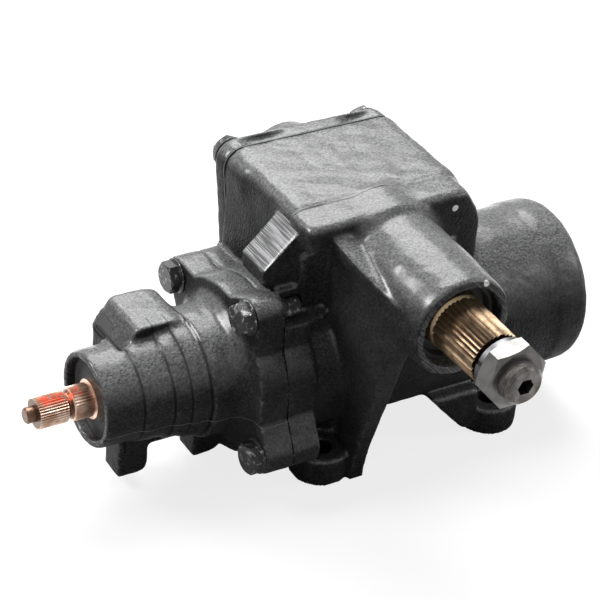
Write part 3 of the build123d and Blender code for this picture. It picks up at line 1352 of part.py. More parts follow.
def input_shaft():
    spline_one_x = INPUT_TIP_X + PILOT_LENGTH
    neck_x = spline_one_x + OUTER_SPLINE_LENGTH
    spline_two_x = neck_x + NECK_LENGTH
    collar_x = spline_two_x + INNER_SPLINE_LENGTH
    spool_end = SPOOL_START_X + SPOOL_LENGTH
    root_one = OUTER_SPLINE_RADIUS - INPUT_SERRATION_DEPTH
    root_two = INNER_SPLINE_RADIUS - INPUT_SERRATION_DEPTH
    spool = SPOOL_RADIUS - VALVE_GAP
    body = turned_x([
        (INPUT_TIP_X, 0),
        (INPUT_TIP_X, PILOT_RADIUS - INPUT_EDGE),
        (INPUT_TIP_X + INPUT_EDGE, PILOT_RADIUS),
        (spline_one_x, PILOT_RADIUS),
        (spline_one_x, root_one - SPLINE_CORE_GAP),
        (neck_x, root_one - SPLINE_CORE_GAP),
        (neck_x + NECK_TAPER, NECK_RADIUS),
        (spline_two_x - NECK_TAPER, NECK_RADIUS),
        (spline_two_x, root_two),
        (collar_x, root_two),
        (collar_x + INPUT_EDGE, COLLAR_RADIUS),
        (INPUT_JOURNAL_X, COLLAR_RADIUS),
        (INPUT_JOURNAL_X, INPUT_JOURNAL_RADIUS),
        (SPOOL_START_X, INPUT_JOURNAL_RADIUS),
        (SPOOL_START_X, spool),
        (spool_end, spool),
        (spool_end, 0),
    ])
    for radius, start, length in (
        (OUTER_SPLINE_RADIUS, spline_one_x, OUTER_SPLINE_LENGTH),
        (INNER_SPLINE_RADIUS, spline_two_x, INNER_SPLINE_LENGTH),
    ):
        outline = make_face(serrated(radius, INPUT_SERRATION_DEPTH, INPUT_SERRATIONS))
        body = body + WORM_AXIS * Pos(0, 0, start) * extrude(outline, length)
    tongue = Rectangle(2 * TONGUE_RADIUS, TONGUE_WIDTH) & Circle(TONGUE_TIP_RADIUS)
    body = body + WORM_AXIS * Pos(0, 0, spool_end) * extrude(tongue, TONGUE_LENGTH)
    slot_x = SPOOL_START_X + (SPOOL_LENGTH - SPOOL_SLOT_LENGTH) / 2
    for index in range(SPOOL_SLOTS):
        slot = Box(2 * SPOOL_SLOT_DEPTH, SPOOL_SLOT_WIDTH, SPOOL_SLOT_LENGTH, align=BASE)
        at = Rot(0, 0, (index + 0.5) * 360.0 / SPOOL_SLOTS) * Pos(SPOOL_RADIUS, 0, slot_x)
        body = body - WORM_AXIS * at * slot
    body = body - rod_x(BAR_HOLE_RADIUS, BAR_START_X, spool_end + TONGUE_LENGTH + EPS)
    return body - pin_x(UPPER_PIN_X, INPUT_JOURNAL_RADIUS + 1)


def torsion_bar():
    waist_start = BAR_START_X + BAR_HEAD_LENGTH
    waist_end = BAR_END_X - BAR_HEAD_LENGTH
    body = turned_x([
        (BAR_START_X, 0),
        (BAR_START_X, BAR_END_RADIUS),
        (waist_start, BAR_END_RADIUS),
        (waist_start + 1, BAR_RADIUS),
        (waist_end - 1, BAR_RADIUS),
        (waist_end, BAR_END_RADIUS),
        (BAR_END_X, BAR_END_RADIUS),
        (BAR_END_X, 0),
    ])
    relief = BAR_END_RADIUS * math.sin(math.radians(TWIST_RANGE)) + PIN_PLAY
    body = body - pin_x(UPPER_PIN_X, 2 * BAR_END_RADIUS)
    return body - pin_x(LOWER_PIN_X, 2 * BAR_END_RADIUS, PIN_RADIUS + relief)


def upper_bar_pin():
    return pin_x(UPPER_PIN_X, INPUT_JOURNAL_RADIUS - PIN_INSET)


def input_needle_bearing():
    inner = INPUT_JOURNAL_RADIUS + RUNNING_GAP
    return ring_x(INPUT_BEARING_RADIUS, inner, INPUT_BEARING_X, INPUT_BEARING_X + INPUT_BEARING_LENGTH)


def input_seal():
    start = snap_ring_x() + SNAP_RING_THICKNESS
    return lip_seal(turned_x, INPUT_SEAL_RADIUS, COLLAR_RADIUS, start, start + INPUT_SEAL_LENGTH)


def input_snap_ring():
    start = snap_ring_x()
    end = start + SNAP_RING_THICKNESS
    outer = INPUT_SEAL_RADIUS + SNAP_RING_GROOVE
    ring = ring_x(outer, outer - SNAP_RING_WIDTH, start, end)
    return ring - block((start - 1, end + 1), (-SNAP_RING_MOUTH, SNAP_RING_MOUTH), (0, outer + 1))


def input_dust_seal():
    inner = COLLAR_RADIUS + RUNNING_GAP
    face = INPUT_SEAL_FACE - DUST_BOOT_THICKNESS
    return turned_x([
        (INPUT_SEAL_FACE, MOUTH_BORE),
        (INPUT_SEAL_FACE, inner),
        (face - DUST_BOOT_LIP, inner),
        (face - DUST_BOOT_LIP, inner + DUST_BOOT_LIP),
        (face, inner + 2 * DUST_BOOT_LIP),
        (face, MOUTH_BORE - 2 * DUST_BOOT_LIP),
        (face - DUST_BOOT_LIP, MOUTH_BORE - DUST_BOOT_LIP),
        (face - DUST_BOOT_LIP, MOUTH_BORE),
    ])


PIECES = {
    "main_housing": main_housing,
    "valve_housing": valve_housing,
    "flange_bolts": flange_bolts,
    "flange_o_ring": flange_o_ring,
    "rear_end_plug": rear_end_plug,
    "plug_o_ring": plug_o_ring,
    "plug_retaining_ring": plug_retaining_ring,
    "side_cover": side_cover,
    "side_cover_gasket": side_cover_gasket,
    "side_cover_bolts": side_cover_bolts,
    "cover_bushing": cover_bushing,
    "adjuster_screw": adjuster_screw,
    "adjuster_lock_nut": adjuster_lock_nut,
    "sector_bearing_shell": sector_bearing_shell,
    "sector_bearing_rollers": sector_bearing_rollers,
    "sector_seal": sector_seal,
    "sector_seal_retainer": sector_seal_retainer,
    "sector_dust_seal": sector_dust_seal,
    "worm_bearing_outer_race": worm_bearing_outer_race,
    "worm_bearing_balls": worm_bearing_balls,
    "bearing_nut": bearing_nut,
    "input_needle_bearing": input_needle_bearing,
    "input_seal": input_seal,
    "input_snap_ring": input_snap_ring,
    "input_dust_seal": input_dust_seal,
    "sector_shaft": sector_shaft,
    "adjuster_retainer": adjuster_retainer,
    "pitman_nut": pitman_nut,
    "pitman_washer": pitman_washer,
    "rack_piston": rack_piston,
    "piston_ring": piston_ring,
    "piston_ring_backing": piston_ring_backing,
    "piston_plug": piston_plug,
    "recirculating_balls": balls,
    "ball_guide_halves": ball_guide_halves,
    "guide_strap": guide_strap,
    "strap_screws": strap_screws,
    "worm": worm,
    "worm_bearing_inner_race": worm_bearing_inner_race,
    "valve_sleeve": valve_sleeve,
    "sleeve_rings": sleeve_rings,
    "sleeve_pin": sleeve_pin,
    "lower_bar_pin": lower_bar_pin,
    "input_shaft": input_shaft,
    "torsion_bar": torsion_bar,
    "upper_bar_pin": upper_bar_pin,
}

os.makedirs("parts", exist_ok=True)
for name, make in PIECES.items():
    made = make()
    if isinstance(made, list):
        made = Compound([solid for item in made for solid in item.solids()])
    export_step(TO_PART_FRAME * made, "parts/" + name + ".step")
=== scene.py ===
"""Looks of a recirculating-ball steering gearbox: castings, shafts, fasteners and their finishes."""

import math

import bmesh
import bpy
import numpy as np
from mathutils import Matrix, Vector


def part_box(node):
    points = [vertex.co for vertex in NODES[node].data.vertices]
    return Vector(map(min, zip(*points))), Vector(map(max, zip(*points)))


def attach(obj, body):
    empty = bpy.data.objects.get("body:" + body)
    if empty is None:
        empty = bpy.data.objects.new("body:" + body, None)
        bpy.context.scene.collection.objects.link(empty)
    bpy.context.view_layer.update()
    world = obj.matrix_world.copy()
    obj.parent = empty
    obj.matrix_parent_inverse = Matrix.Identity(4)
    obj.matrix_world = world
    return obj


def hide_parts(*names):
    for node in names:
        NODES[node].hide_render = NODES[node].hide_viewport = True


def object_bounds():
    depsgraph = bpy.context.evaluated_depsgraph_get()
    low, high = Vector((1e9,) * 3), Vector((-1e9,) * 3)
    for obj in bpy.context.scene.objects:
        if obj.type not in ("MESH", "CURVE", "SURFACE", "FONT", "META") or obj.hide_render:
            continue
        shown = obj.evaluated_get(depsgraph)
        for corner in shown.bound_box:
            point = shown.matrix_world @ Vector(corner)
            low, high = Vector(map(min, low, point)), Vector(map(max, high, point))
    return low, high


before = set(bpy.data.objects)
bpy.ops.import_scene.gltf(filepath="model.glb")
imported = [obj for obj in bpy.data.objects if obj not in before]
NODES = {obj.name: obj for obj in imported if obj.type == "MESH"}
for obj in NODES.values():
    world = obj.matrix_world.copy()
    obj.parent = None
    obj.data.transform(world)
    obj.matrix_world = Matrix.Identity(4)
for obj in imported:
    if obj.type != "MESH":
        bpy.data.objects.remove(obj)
cad_box = [list(corner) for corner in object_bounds()]

# Axes of the two shafts; the sector axis's height above the worm is in millimetres
MM = 0.001
WORM_Z = 64.0 * MM
SECTOR_X = -23.0 * MM
SECTOR_Z = 135.0 * MM
SECTOR_HEIGHT = 71.0
GEAR_ORIGIN = Vector((SECTOR_X, 0.0, WORM_Z))

# Camera, aimed at a point near the middle of the object
CAMERA_AZIMUTH = -35.21
CAMERA_ELEVATION = 34.4
CAMERA_ROLL = 5.7
CAMERA_DISTANCE = 1.4
CAMERA_LENS = 141.12
CAMERA_NEAR = 0.05
AIM_RIGHT = -27.32 * MM
AIM_UP = 16.85 * MM

# Floor, world and lamps, each lamp with its azimuth, elevation, distance, size and power
FLOOR_HALF = 3.0
FLOOR_COLOUR = (0.85, 0.85, 0.85)
FLOOR_GLOW = 0.8
WORLD_FILL = 0.20
LAMP_AIM = Vector((-0.04, -0.02, 0.07))
LAMPS = {
    "overhead": (158.0, 52.0, 1.3, 1.0, 40.0),
    "left": (-118.0, 40.0, 1.3, 0.45, 16.0),
    "right": (60.0, 30.0, 1.7, 0.6, 4.0),
}

# Skin of the castings
CAST_VOXEL = 1.0 * MM
CAST_SMOOTHING = 14
CAST_SMOOTHING_SHARE = 0.5
CAST_TRIANGLES = 185000
CAST_WAVES = 0.14 * MM
LONG_WAVE = 20.0 * MM
SHORT_WAVE = 8.0 * MM
SHORT_WAVE_SHARE = 0.5
WAVE_TERMS = 24
SHARP_ANGLE = math.radians(42.0)
CAST_MERGE = 1e-6

# Machined faces of the castings: the thin spans that their points lie in, and how bare they are
FACE_BLUR = 0.4 * MM
FACING = 0.9
JOINT_X = (-93.5 * MM, -92.5 * MM)
COVER_JOINT_Y = (56.5 * MM, 57.5 * MM)
COVER_FACE_Y = (57.5 * MM, 58.5 * MM)
MOUNTING_Z = (-0.5 * MM, 0.5 * MM)
INPUT_MOUTH_X = (-196.0 * MM, -195.0 * MM)
INPUT_MOUTH_BARE = 0.3
TUBE_MOUTH_Y = -110.7 * MM
TUBE_MOUTH_SPAN = (TUBE_MOUTH_Y - 0.5 * MM, TUBE_MOUTH_Y + 0.5 * MM)
TUBE_MOUTH_BARE = 0.35
PAD_PLANE = -239.5 * MM
PAD_SPAN = (PAD_PLANE - 0.8 * MM, PAD_PLANE + 0.8 * MM)
PAD_DEPTH_Y = (-25.0 * MM, 0.0)
PAD_FACING = 1.3
PORTS = ((-162.0 * MM, 11.2 * MM), (-141.0 * MM, 12.2 * MM))
PORT_HEIGHT = 86.0 * MM
PORT_DEPTH_Y = (20.0 * MM, 38.0 * MM)

# Sector shaft tube: outer radii at places along it, and how far it is drawn in there
TUBE_PLACES = (TUBE_MOUTH_Y, -72.0 * MM, -44.0 * MM, -36.0 * MM)
TUBE_RADII = (31.0 * MM, 34.3 * MM, 36.3 * MM, 36.3 * MM)
TUBE_SLIMMING = (0.0, 1.6 * MM, 3.8 * MM, 4.0 * MM)
TUBE_INNER = 27.0 * MM
TUBE_INNER_FADE = 2.0 * MM
TUBE_REACH = 5.0 * MM
TUBE_ROOT_Y = -37.0 * MM
TUBE_FADE = 3.0 * MM

# Rooms inside the main housing, in millimetres from the gear origin
PISTON_BORE = 40.0
PISTON_BORE_SPAN = (-60, 66)
GEAR_ROOM = 47.5
GEAR_ROOM_TOP = 77.5
GEAR_ROOM_SPAN = (-28.0, 56.0)
HUB_ROOM = 28.0
BEARING_ROOM = 23.0
BEARING_ROOM_SPAN = (-71.0, -27.0)

# Forms added to the castings, in millimetres from the gear origin
FRONT_SPAN = (-36, -12)
SHELF = ((-56, 103), (5, 104.9), (50, 104.9), (-56, 86), (62, 86))
SHELF_EDGE = 5.0
CHAMBER_FRONT = ((-10, 30), (-10, 100), (52, 100), (63, 84), (64, 30))
CHAMBER_FRONT_EDGE = 7.0
WEB_FLARE = (
    (-26, -60, -46), (-26, -40, -46), (-16, -40, -46), (-16, -60, -46), (-16, -86, 40),
    (-16, -32, 40), (-31, -98, 78), (-29.5, -98, 78), (-42, -32, 97), (-29.5, -32, 97),
)
COLLAR = (
    (121, 46), (122.2, 51.2), (137, 51.2), (140.5, 50.2), (142.6, 48.2), (143.4, 45.5),
    (143.4, 42.5), (121, 42.5),
)
CROSS_RIB = ((-28, -60), (-28, -40), (-8, -40), (-8, -60))
CROSS_RIB_SPAN = (-29, 29)
CROSS_RIB_EDGE = 4.0
GUSSET = ((33, -30), (60, -60), (68, -60), (68, -30))
GUSSET_SPANS = ((-51, -31), (31, 51))
GUSSET_EDGE = 3.0
FORM_STEPS = 120
EDGE_SEGMENTS = 5
FLAT_ANGLE = math.radians(1.0)

# Forms cut from the castings, in millimetres from the gear origin
HOLLOW = ((-70, 46), (-38, 46), (-38, 84), (-70, 84))
HOLLOW_SPAN = (-45, -29.5)
HOLLOW_EDGE = 3.0
FOOT_CORNERS = (
    ((-165, -60), (-153, -60), (-153, -28.9), (-165, -28.9)),
    ((-115, -60), (-104, -60), (-104, -38.8), (-115, -38.8)),
)
FOOT_SPAN = (-12, 14)
PORT_CORNER = ((-152, 20.5), (-140, 40), (-152, 40))
PORT_CORNER_SPAN = (-1, 39)
COVER_POCKETS = ((-29.0, 17.0), (33.5, 12.5))
COVER_TOP = 105.0
POCKET_DEPTH = 4.0
POCKET_FRONT, POCKET_BACK = 57.5, 66.3
POCKET_CORE = 0.5
POCKET_STEPS = 160
ROD_STEPS = 180

# Dust seal of the sector shaft: places along it and radii, in millimetres
DUST_SEAL = ((-102.7, 24.6), (-102.7, 22.6), (-97.5, 22.0), (-97.5, 17.9), (-94.5, 17.9), (-94.5, 24.6))

# Bolts of the joint flange and of the side cover
FLANGE_HEAD_X = -111.0 * MM
EAR_RING = 60.0 * MM
EAR_FIRST_ANGLE = 60.0
EAR_COUNT = 4
FLANGE_HEAD_HEIGHT = 8.0 * MM
COVER_HEAD_Y = 70.0 * MM
COVER_BOLTS = ((46.0, 22.0), (-46.0, 22.0), (38.0, -46.0), (-38.0, -46.0))
COVER_HEAD_HEIGHT = 7.0 * MM
BOLT_ACROSS = 17.0 * MM
BOLT_FLANGE_RADIUS = 10.6 * MM
BRIM_HEIGHT = 1.6 * MM
BRIM_CHAMFER = 0.4 * MM
BRIM_EDGE = 0.9 * MM
BRIM_RISE = 0.5 * MM
HEAD_CORE = 3.0 * MM
BOLT_SHANK = 32.0 * MM
SHANK_RADIUS = 5.95 * MM
SHANK_CHAMFER = 1.0 * MM
SHANK_OVERLAP = 0.2 * MM
SHANK_STEPS = 32

# Nut and lock washer of the sector shaft
NUT_BACK_Y = -150.0 * MM
NUT_HEIGHT = 12.0 * MM
NUT_ACROSS = 35.0 * MM
NUT_BORE = 12.3 * MM
NUT_SPIN = 11.0
WASHER_THICKNESS = 3.9 * MM
WASHER_RADIUS = 16.6 * MM
WASHER_BORE = 12.6 * MM
WASHER_GAP = 9.0
WASHER_START = 160.0
WASHER_TWIST = 0.5 * MM
WASHER_STAND = 0.05 * MM
HEX_STEPS = 72
CROWN_SHARE = 0.94
CROWN_SLOPE = math.tan(math.radians(30.0))
HARD_ANGLE = math.radians(24.0)
FINE_MERGE = 1e-7

# Marks on the paint: nose joints, parting line, painted shadow and painted highlight of the step along the
# chamber's top, dots
NOSE_GROOVES = (-172.6 * MM, -154.6 * MM, -144.6 * MM, -133.6 * MM)
NOSE_RADIUS = 39.5 * MM
NOSE_RADIUS_END = 40.0 * MM
GROOVE_HALF = 0.45 * MM
PARTING_Z = 54.0 * MM
PARTING_HALF = 0.3 * MM
PARTING_FRONT_Y = (-20.0 * MM, -10.0 * MM)
PARTING_RAGGED = 1.2
MARK_BLUR = 0.25 * MM
STEP_TOP_Z = (163.0 * MM, 164.0 * MM)
STEP_X = (-76.0 * MM, -17.0 * MM)
STEP_END_BLUR = 2.0 * MM
# Strips of painted shadow (dark) and painted highlight (bright) along the step on the chamber's top
STEP_SHADOW_Y = (-15.2 * MM, -14.2 * MM)
STEP_HIGHLIGHT_Y = (-13.8 * MM, -12.8 * MM)
STEP_BLUR = 0.3 * MM
MAIN_DOTS = ((0.0182, -0.0362, 0.1594), (-0.0113, -0.1107, 0.1616))
VALVE_DOTS = ((-0.1830, -0.0330, 0.0650),)
DOT_RADIUS = 2.3 * MM
DOT_CORE = 0.8
WORN_EDGE = (0.50, 0.56)

# Zones of the steel shafts
INPUT_CREST = (8.3 * MM, 9.1 * MM)
DAB_X = (-225.0 * MM, -199.0 * MM)
DAB_Y = (-5.0 * MM, 1.5 * MM)
DAB_Z = (WORM_Z + 2.0 * MM, WORM_Z + 6.0 * MM)
DAB_RAGGED = 5.0
SECTOR_CREST = (15.1 * MM, 16.3 * MM)
SPLINE_BRIGHT_Y = (-120.0 * MM, -107.0 * MM)
THREAD_START_Y = (-142.8 * MM, -142.5 * MM)
THREAD_ROOT = (11.5 * MM, 12.0 * MM)
THREAD_PITCH = 1.5 * MM

# Colours of paint, iron and steel
PAINT_BLACK = (0.0085, 0.0086, 0.009)
# Grey of the castings' upward faces: a little real dust, mostly painted sheen of the light from above
PAINT_DUST_AND_SHEEN = (0.085, 0.0855, 0.087)
# Light grey of the sand grains, shown mostly on upward faces as a painted highlight
PAINT_GRAIN_AND_SHEEN = (0.17, 0.171, 0.173)
PAINT_WORN = (0.16, 0.162, 0.166)
# Painted shade in the pits of the sand skin
PIT_SHADE_BLACK = (0.004, 0.004, 0.004)
# Black of the nose's dark joints and of the painted shadow under the chamber's step; grey of the painted
# highlight on the step's edge
JOINT_AND_STEP_SHADOW_BLACK = (0.003, 0.003, 0.003)
STEP_HIGHLIGHT_GREY = (0.22, 0.22, 0.225)
DOT_WHITE = (0.80, 0.80, 0.78)
DAB_ORANGE = (0.78, 0.13, 0.05)
MILLED_DARK = (0.045, 0.045, 0.046)
MILLED_LIGHT = (0.19, 0.19, 0.195)
INPUT_BROWN = (0.40, 0.24, 0.17)
INPUT_PINK = (0.66, 0.49, 0.40)
# Painted shade in the spline valleys of the input shaft
INPUT_VALLEY_SHADE = (0.10, 0.055, 0.035)
SECTOR_BROWN = (0.085, 0.054, 0.032)
SECTOR_GOLD = (0.20, 0.14, 0.085)
SECTOR_BRIGHT = (0.48, 0.36, 0.22)
# Painted shade in the spline valleys of the sector shaft
SECTOR_VALLEY_SHADE = (0.030, 0.020, 0.013)
# Threaded end: partly its own duller steel, partly painted shade of the groove before the nut
THREAD_DARK = (0.055, 0.05, 0.045)
THREAD_LIGHT = (0.13, 0.12, 0.115)
BOLT_BLACK = (0.012, 0.012, 0.013)
# Grey of chips on the bolt heads, which also stand in as painted glints
CHIP_AND_GLINT_GREY = (0.20, 0.20, 0.205)


# Shader maths


class Wire:
    """A shader value. Arithmetic on it adds Math nodes to its finish."""

    def __init__(self, finish, socket):
        self.finish = finish
        self.socket = socket

    def math(self, operation, other, swapped=False):
        first, second = (other, self) if swapped else (self, other)
        return self.finish.add("ShaderNodeMath", {"operation": operation}, {0: first, 1: second})

    def __add__(self, other):
        return self.math("ADD", other)

    __radd__ = __add__

    def __sub__(self, other):
        return self.math("SUBTRACT", other)

    def __rsub__(self, other):
        return self.math("SUBTRACT", other, swapped=True)

    def __mul__(self, other):
        return self.math("MULTIPLY", other)

    __rmul__ = __mul__

    def __pow__(self, other):
        return self.math("POWER", other)

    def above(self, low, high):
        """0 below low, 1 above high, and a smooth step between."""
        return self.finish.add(
            "ShaderNodeMapRange",
            {"interpolation_type": "SMOOTHSTEP"},
            {"Value": self, "From Min": low, "From Max": high},
        )

    def between(self, low, high, blur):
        return self.above(low - blur, low + blur) - self.above(high - blur, high + blur)


class Finish:
    """One procedural material and the nodes of its tree."""

    def __init__(self, name):
        self.material = bpy.data.materials.new(name)
        self.material.use_nodes = True
        self.tree = self.material.node_tree
        self.shader = next(node for node in self.tree.nodes if node.type == "BSDF_PRINCIPLED")

    def add(self, kind, settings=None, sockets=None, out=0):
        """One node: its settings first, then the values or links of its sockets."""
        node = self.tree.nodes.new(kind)
        for key, value in (settings or {}).items():
            setattr(node, key, value)
        for key, value in (sockets or {}).items():
            self.plug(node.inputs[key], value)
        return Wire(self, node.outputs[out])

    def plug(self, socket, value):
        if isinstance(value, Wire):
            self.tree.links.new(value.socket, socket)
        elif isinstance(value, tuple) and socket.type == "RGBA":
            socket.default_value = (*value, 1.0)
        else:
            socket.default_value = value

    def surface(self, **sockets):
        """Values and links of the shader's own sockets, with spaces written as underscores."""
        for key, value in sockets.items():
            self.plug(self.shader.inputs[key.replace("_", " ")], value)
        return self.material

    def place(self):
        return self.add("ShaderNodeTexCoord", {}, {}, "Object")

    def noise(self, scale, detail=3.0, roughness=0.55):
        sockets = {"Vector": self.place(), "Scale": scale, "Detail": detail, "Roughness": roughness}
        return self.add("ShaderNodeTexNoise", {}, sockets)

    def ragged(self, scale, width):
        """An uneven shift either way, as wide in all as the given millimetres."""
        return self.noise(scale, 3.0) * width * MM - width / 2 * MM

    def cells(self, scale):
        return self.add("ShaderNodeTexVoronoi", {}, {"Vector": self.place(), "Scale": scale})

    def mix(self, mask, low, high):
        """Colour low where the mask is 0, and high where it is 1."""
        return self.add("ShaderNodeMix", {"data_type": "RGBA"}, {0: mask, 6: low, 7: high}, 2)

    def bump(self, height, distance, strength):
        return self.add(
            "ShaderNodeBump", {}, {"Height": height, "Distance": distance, "Strength": strength}
        )

    def axes(self):
        """X, Y and Z of the point, as wires."""
        node = self.tree.nodes.new("ShaderNodeSeparateXYZ")
        self.plug(node.inputs[0], self.place())
        return [Wire(self, socket) for socket in node.outputs]

    def upward(self):
        """Z of the piece's own surface normal."""
        normal = self.add("ShaderNodeTexCoord", {}, {}, "Normal")
        return self.add("ShaderNodeSeparateXYZ", {}, {0: normal}, "Z")

    def point_value(self, name):
        """A value stored on the mesh's points."""
        return self.add("ShaderNodeAttribute", {"attribute_name": name}, {}, "Fac")

    def edges(self):
        """1 on the rounded outer edges of a finely meshed piece."""
        return self.add("ShaderNodeNewGeometry", {}, {}, "Pointiness").above(*WORN_EDGE)


def sand_skin(finish, machined):
    """Height of the sand-cast skin: lumps, pits and fine grain, fainter where the iron was machined."""
    sand = finish.noise(620.0, 3.0, 0.75)
    pits = finish.cells(420.0).above(0.0, 0.5)
    lumps = finish.noise(190.0, 3.0, 0.55)
    return (sand * 1.1 + pits * 0.4 + lumps * 0.7) * (1.0 - machined * 0.9), sand


def milled(finish, x, y, z):
    """Tool marks across the slanted pad, as values between 0 and 1."""
    row = finish.add("ShaderNodeCombineXYZ", {}, {"X": x + z, "Y": y * 0.06})
    return finish.add("ShaderNodeTexNoise", {}, {"Vector": row, "Scale": 620.0, "Detail": 2.0})


def cast_paint(name, marks=None):
    """Satin black paint over sand-cast iron, thin and grey where the iron was machined, with painted sheen
    on upward faces, painted highlights on their grains and painted shade in the pits.
    """
    finish = Finish(name)
    x, y, z = finish.axes()
    machined = finish.point_value("machined")
    bare = finish.point_value("bare")
    height, sand = sand_skin(finish, machined)
    facing_up = finish.upward().above(0.0, 1.0)
    facing_up = facing_up * facing_up
    # Painted sheen: the paint turns grey on upward faces, plus a few random patches of dust
    dust_and_sheen = finish.noise(45.0, 5.0, 0.6).above(0.30, 0.68) * 0.12 + facing_up * 0.88
    speckle = sand.above(0.47, 0.62) * (1.0 - machined)
    worn = finish.edges() * finish.noise(300.0).above(0.42, 0.62)
    colour = finish.mix(dust_and_sheen, PAINT_BLACK, PAINT_DUST_AND_SHEEN)
    # Grains lightened far more on upward faces: painted highlight on top of the real grain
    colour = finish.mix(speckle * (0.07 + facing_up * 0.5), colour, PAINT_GRAIN_AND_SHEEN)
    # Painted shade: the low points of the sand skin darkened
    pit_shade = (1.0 - sand.above(0.36, 0.47)) * (1.0 - machined)
    colour = finish.mix(pit_shade * 0.55, colour, PIT_SHADE_BLACK)
    colour = finish.mix(worn * 0.5, colour, PAINT_WORN)
    strokes = milled(finish, x, y, z).above(0.38, 0.62)
    colour = finish.mix(bare, colour, finish.mix(strokes, MILLED_DARK, MILLED_LIGHT))
    height = height + bare * strokes * 0.5
    if marks:
        line, colour = marks(finish, x, y, z, colour)
        height = height + line
    return finish.surface(
        Base_Color=colour,
        Metallic=bare * 0.25,
        Roughness=0.38 + sand * 0.18 + facing_up * 0.08 - bare * 0.04,
        Specular_IOR_Level=0.05,
        Coat_Weight=facing_up * 0.3 + finish.upward().between(0.4, 0.85, 0.2) * 0.6,
        Coat_Roughness=0.27,
        Normal=finish.bump(height, 1.15 * MM, 1.0),
    )


def valve_marks(finish, x, y, z, colour):
    """Dark joints between the turned steps of the nose, and the thin parting line of its casting."""
    joints = 0.0
    for place in NOSE_GROOVES:
        joints = x.between(place - GROOVE_HALF, place + GROOVE_HALF, MARK_BLUR) + joints
    squared = (z - WORM_Z) * (z - WORM_Z) + y * y
    joints = joints * (1.0 - squared.above(NOSE_RADIUS**2, NOSE_RADIUS_END**2))
    uneven = z + finish.ragged(150.0, PARTING_RAGGED)
    front = 1.0 - y.above(*PARTING_FRONT_Y)
    parting = uneven.between(PARTING_Z - PARTING_HALF, PARTING_Z + PARTING_HALF, MARK_BLUR) * front
    colour = finish.mix(joints * 0.9, colour, JOINT_AND_STEP_SHADOW_BLACK)
    colour = finish.mix(parting * 0.6, colour, PAINT_WORN)
    height, colour = paint_dots(finish, VALVE_DOTS, colour)
    return height + parting * 0.8 - joints * 1.2, colour


def paint_dots(finish, dots, colour):
    """Height and colour with round dots of white marking paint at the given places."""
    shown = 0.0
    for dot in dots:
        ends = {0: finish.place(), 1: dot}
        offset = finish.add("ShaderNodeVectorMath", {"operation": "DISTANCE"}, ends, 1)
        shown = (1.0 - offset.above(DOT_RADIUS * DOT_CORE, DOT_RADIUS)) + shown
    return shown * 0.2, finish.mix(shown, colour, DOT_WHITE)


def main_marks(finish, x, y, z, colour):
    """Painted shadow and painted highlight along the sharp step on the chamber's top, and the dots of
    marking paint.
    """
    on_top = z.above(*STEP_TOP_Z) * x.between(*STEP_X, STEP_END_BLUR)
    # Painted shadow in a dark strip under the step, painted highlight in a grey strip on its edge
    step = on_top * y.between(*STEP_SHADOW_Y, STEP_BLUR)
    step_highlight = on_top * y.between(*STEP_HIGHLIGHT_Y, STEP_BLUR)
    colour = finish.mix(step * 0.9, colour, JOINT_AND_STEP_SHADOW_BLACK)
    colour = finish.mix(step_highlight * 0.35, colour, STEP_HIGHLIGHT_GREY)
    height, colour = paint_dots(finish, MAIN_DOTS, colour)
    return height - step * 1.5, colour


def radius_about(across, up, centre_across, centre_up):
    """Distance of the point from a shaft's axis."""
    a, b = across - centre_across, up - centre_up
    return (a * a + b * b) ** 0.5


def input_shaft_steel():
    """Pinkish brown input splines with painted shade in their valleys and worn dabs of orange marking
    paint.
    """
    finish = Finish("input_shaft_steel")
    x, y, z = finish.axes()
    grain = finish.noise(800.0, 3.0)
    patch = finish.noise(170.0, 3.0).above(0.35, 0.65)
    crest = radius_about(y, z, 0.0, WORM_Z).above(*INPUT_CREST)
    colour = finish.mix(patch, INPUT_BROWN, INPUT_PINK)
    # Painted shade: the spline valleys darkened
    colour = finish.mix(crest, INPUT_VALLEY_SHADE, colour)
    uneven = finish.ragged(330.0, DAB_RAGGED)
    across = (y + uneven).between(*DAB_Y, 1.2 * MM)
    along = (x + uneven).between(*DAB_X, 1.5 * MM)
    dabs = finish.noise(240.0, 3.0, 0.6).above(0.36, 0.52)
    paint = across * along * dabs * z.above(*DAB_Z) * 0.85
    return finish.surface(
        Base_Color=finish.mix(paint, colour, DAB_ORANGE),
        Metallic=0.85 - paint * 0.8,
        Roughness=0.26 + grain * 0.2 + paint * 0.2,
        Normal=finish.bump(grain, 0.08 * MM, 0.5),
    )


def sector_shaft_steel():
    """Golden brown splines, bright where they start in the tube, painted shade in their valleys, and a
    darker threaded end, partly duller steel and partly painted shade before the nut.
    """
    finish = Finish("sector_shaft_steel")
    x, y, z = finish.axes()
    grain = finish.noise(800.0, 3.0)
    patch = finish.noise(140.0, 3.0).above(0.35, 0.65)
    from_axis = radius_about(x, z, SECTOR_X, SECTOR_Z)
    crest = from_axis.above(*SECTOR_CREST)
    start = y.above(*SPLINE_BRIGHT_Y)
    colour = finish.mix(patch, SECTOR_BROWN, SECTOR_GOLD)
    colour = finish.mix(start, colour, SECTOR_BRIGHT)
    # Painted shade: the spline valleys darkened
    colour = finish.mix(crest, SECTOR_VALLEY_SHADE, colour)
    thread = 1.0 - y.above(*THREAD_START_Y)
    # Threaded end darkened: partly duller steel, partly painted shade of the groove before the nut
    colour = finish.mix(thread, colour, finish.mix(patch, THREAD_DARK, THREAD_LIGHT))
    phase = y * (2 * math.pi / THREAD_PITCH)
    turns = finish.add("ShaderNodeMath", {"operation": "SINE"}, {0: phase})
    cut = turns * thread * from_axis.above(*THREAD_ROOT)
    return finish.surface(
        Base_Color=colour,
        Metallic=0.92,
        Roughness=0.24 + grain * 0.22,
        Normal=finish.bump(grain * 0.15 + cut * 0.5, 0.35 * MM, 0.7),
    )


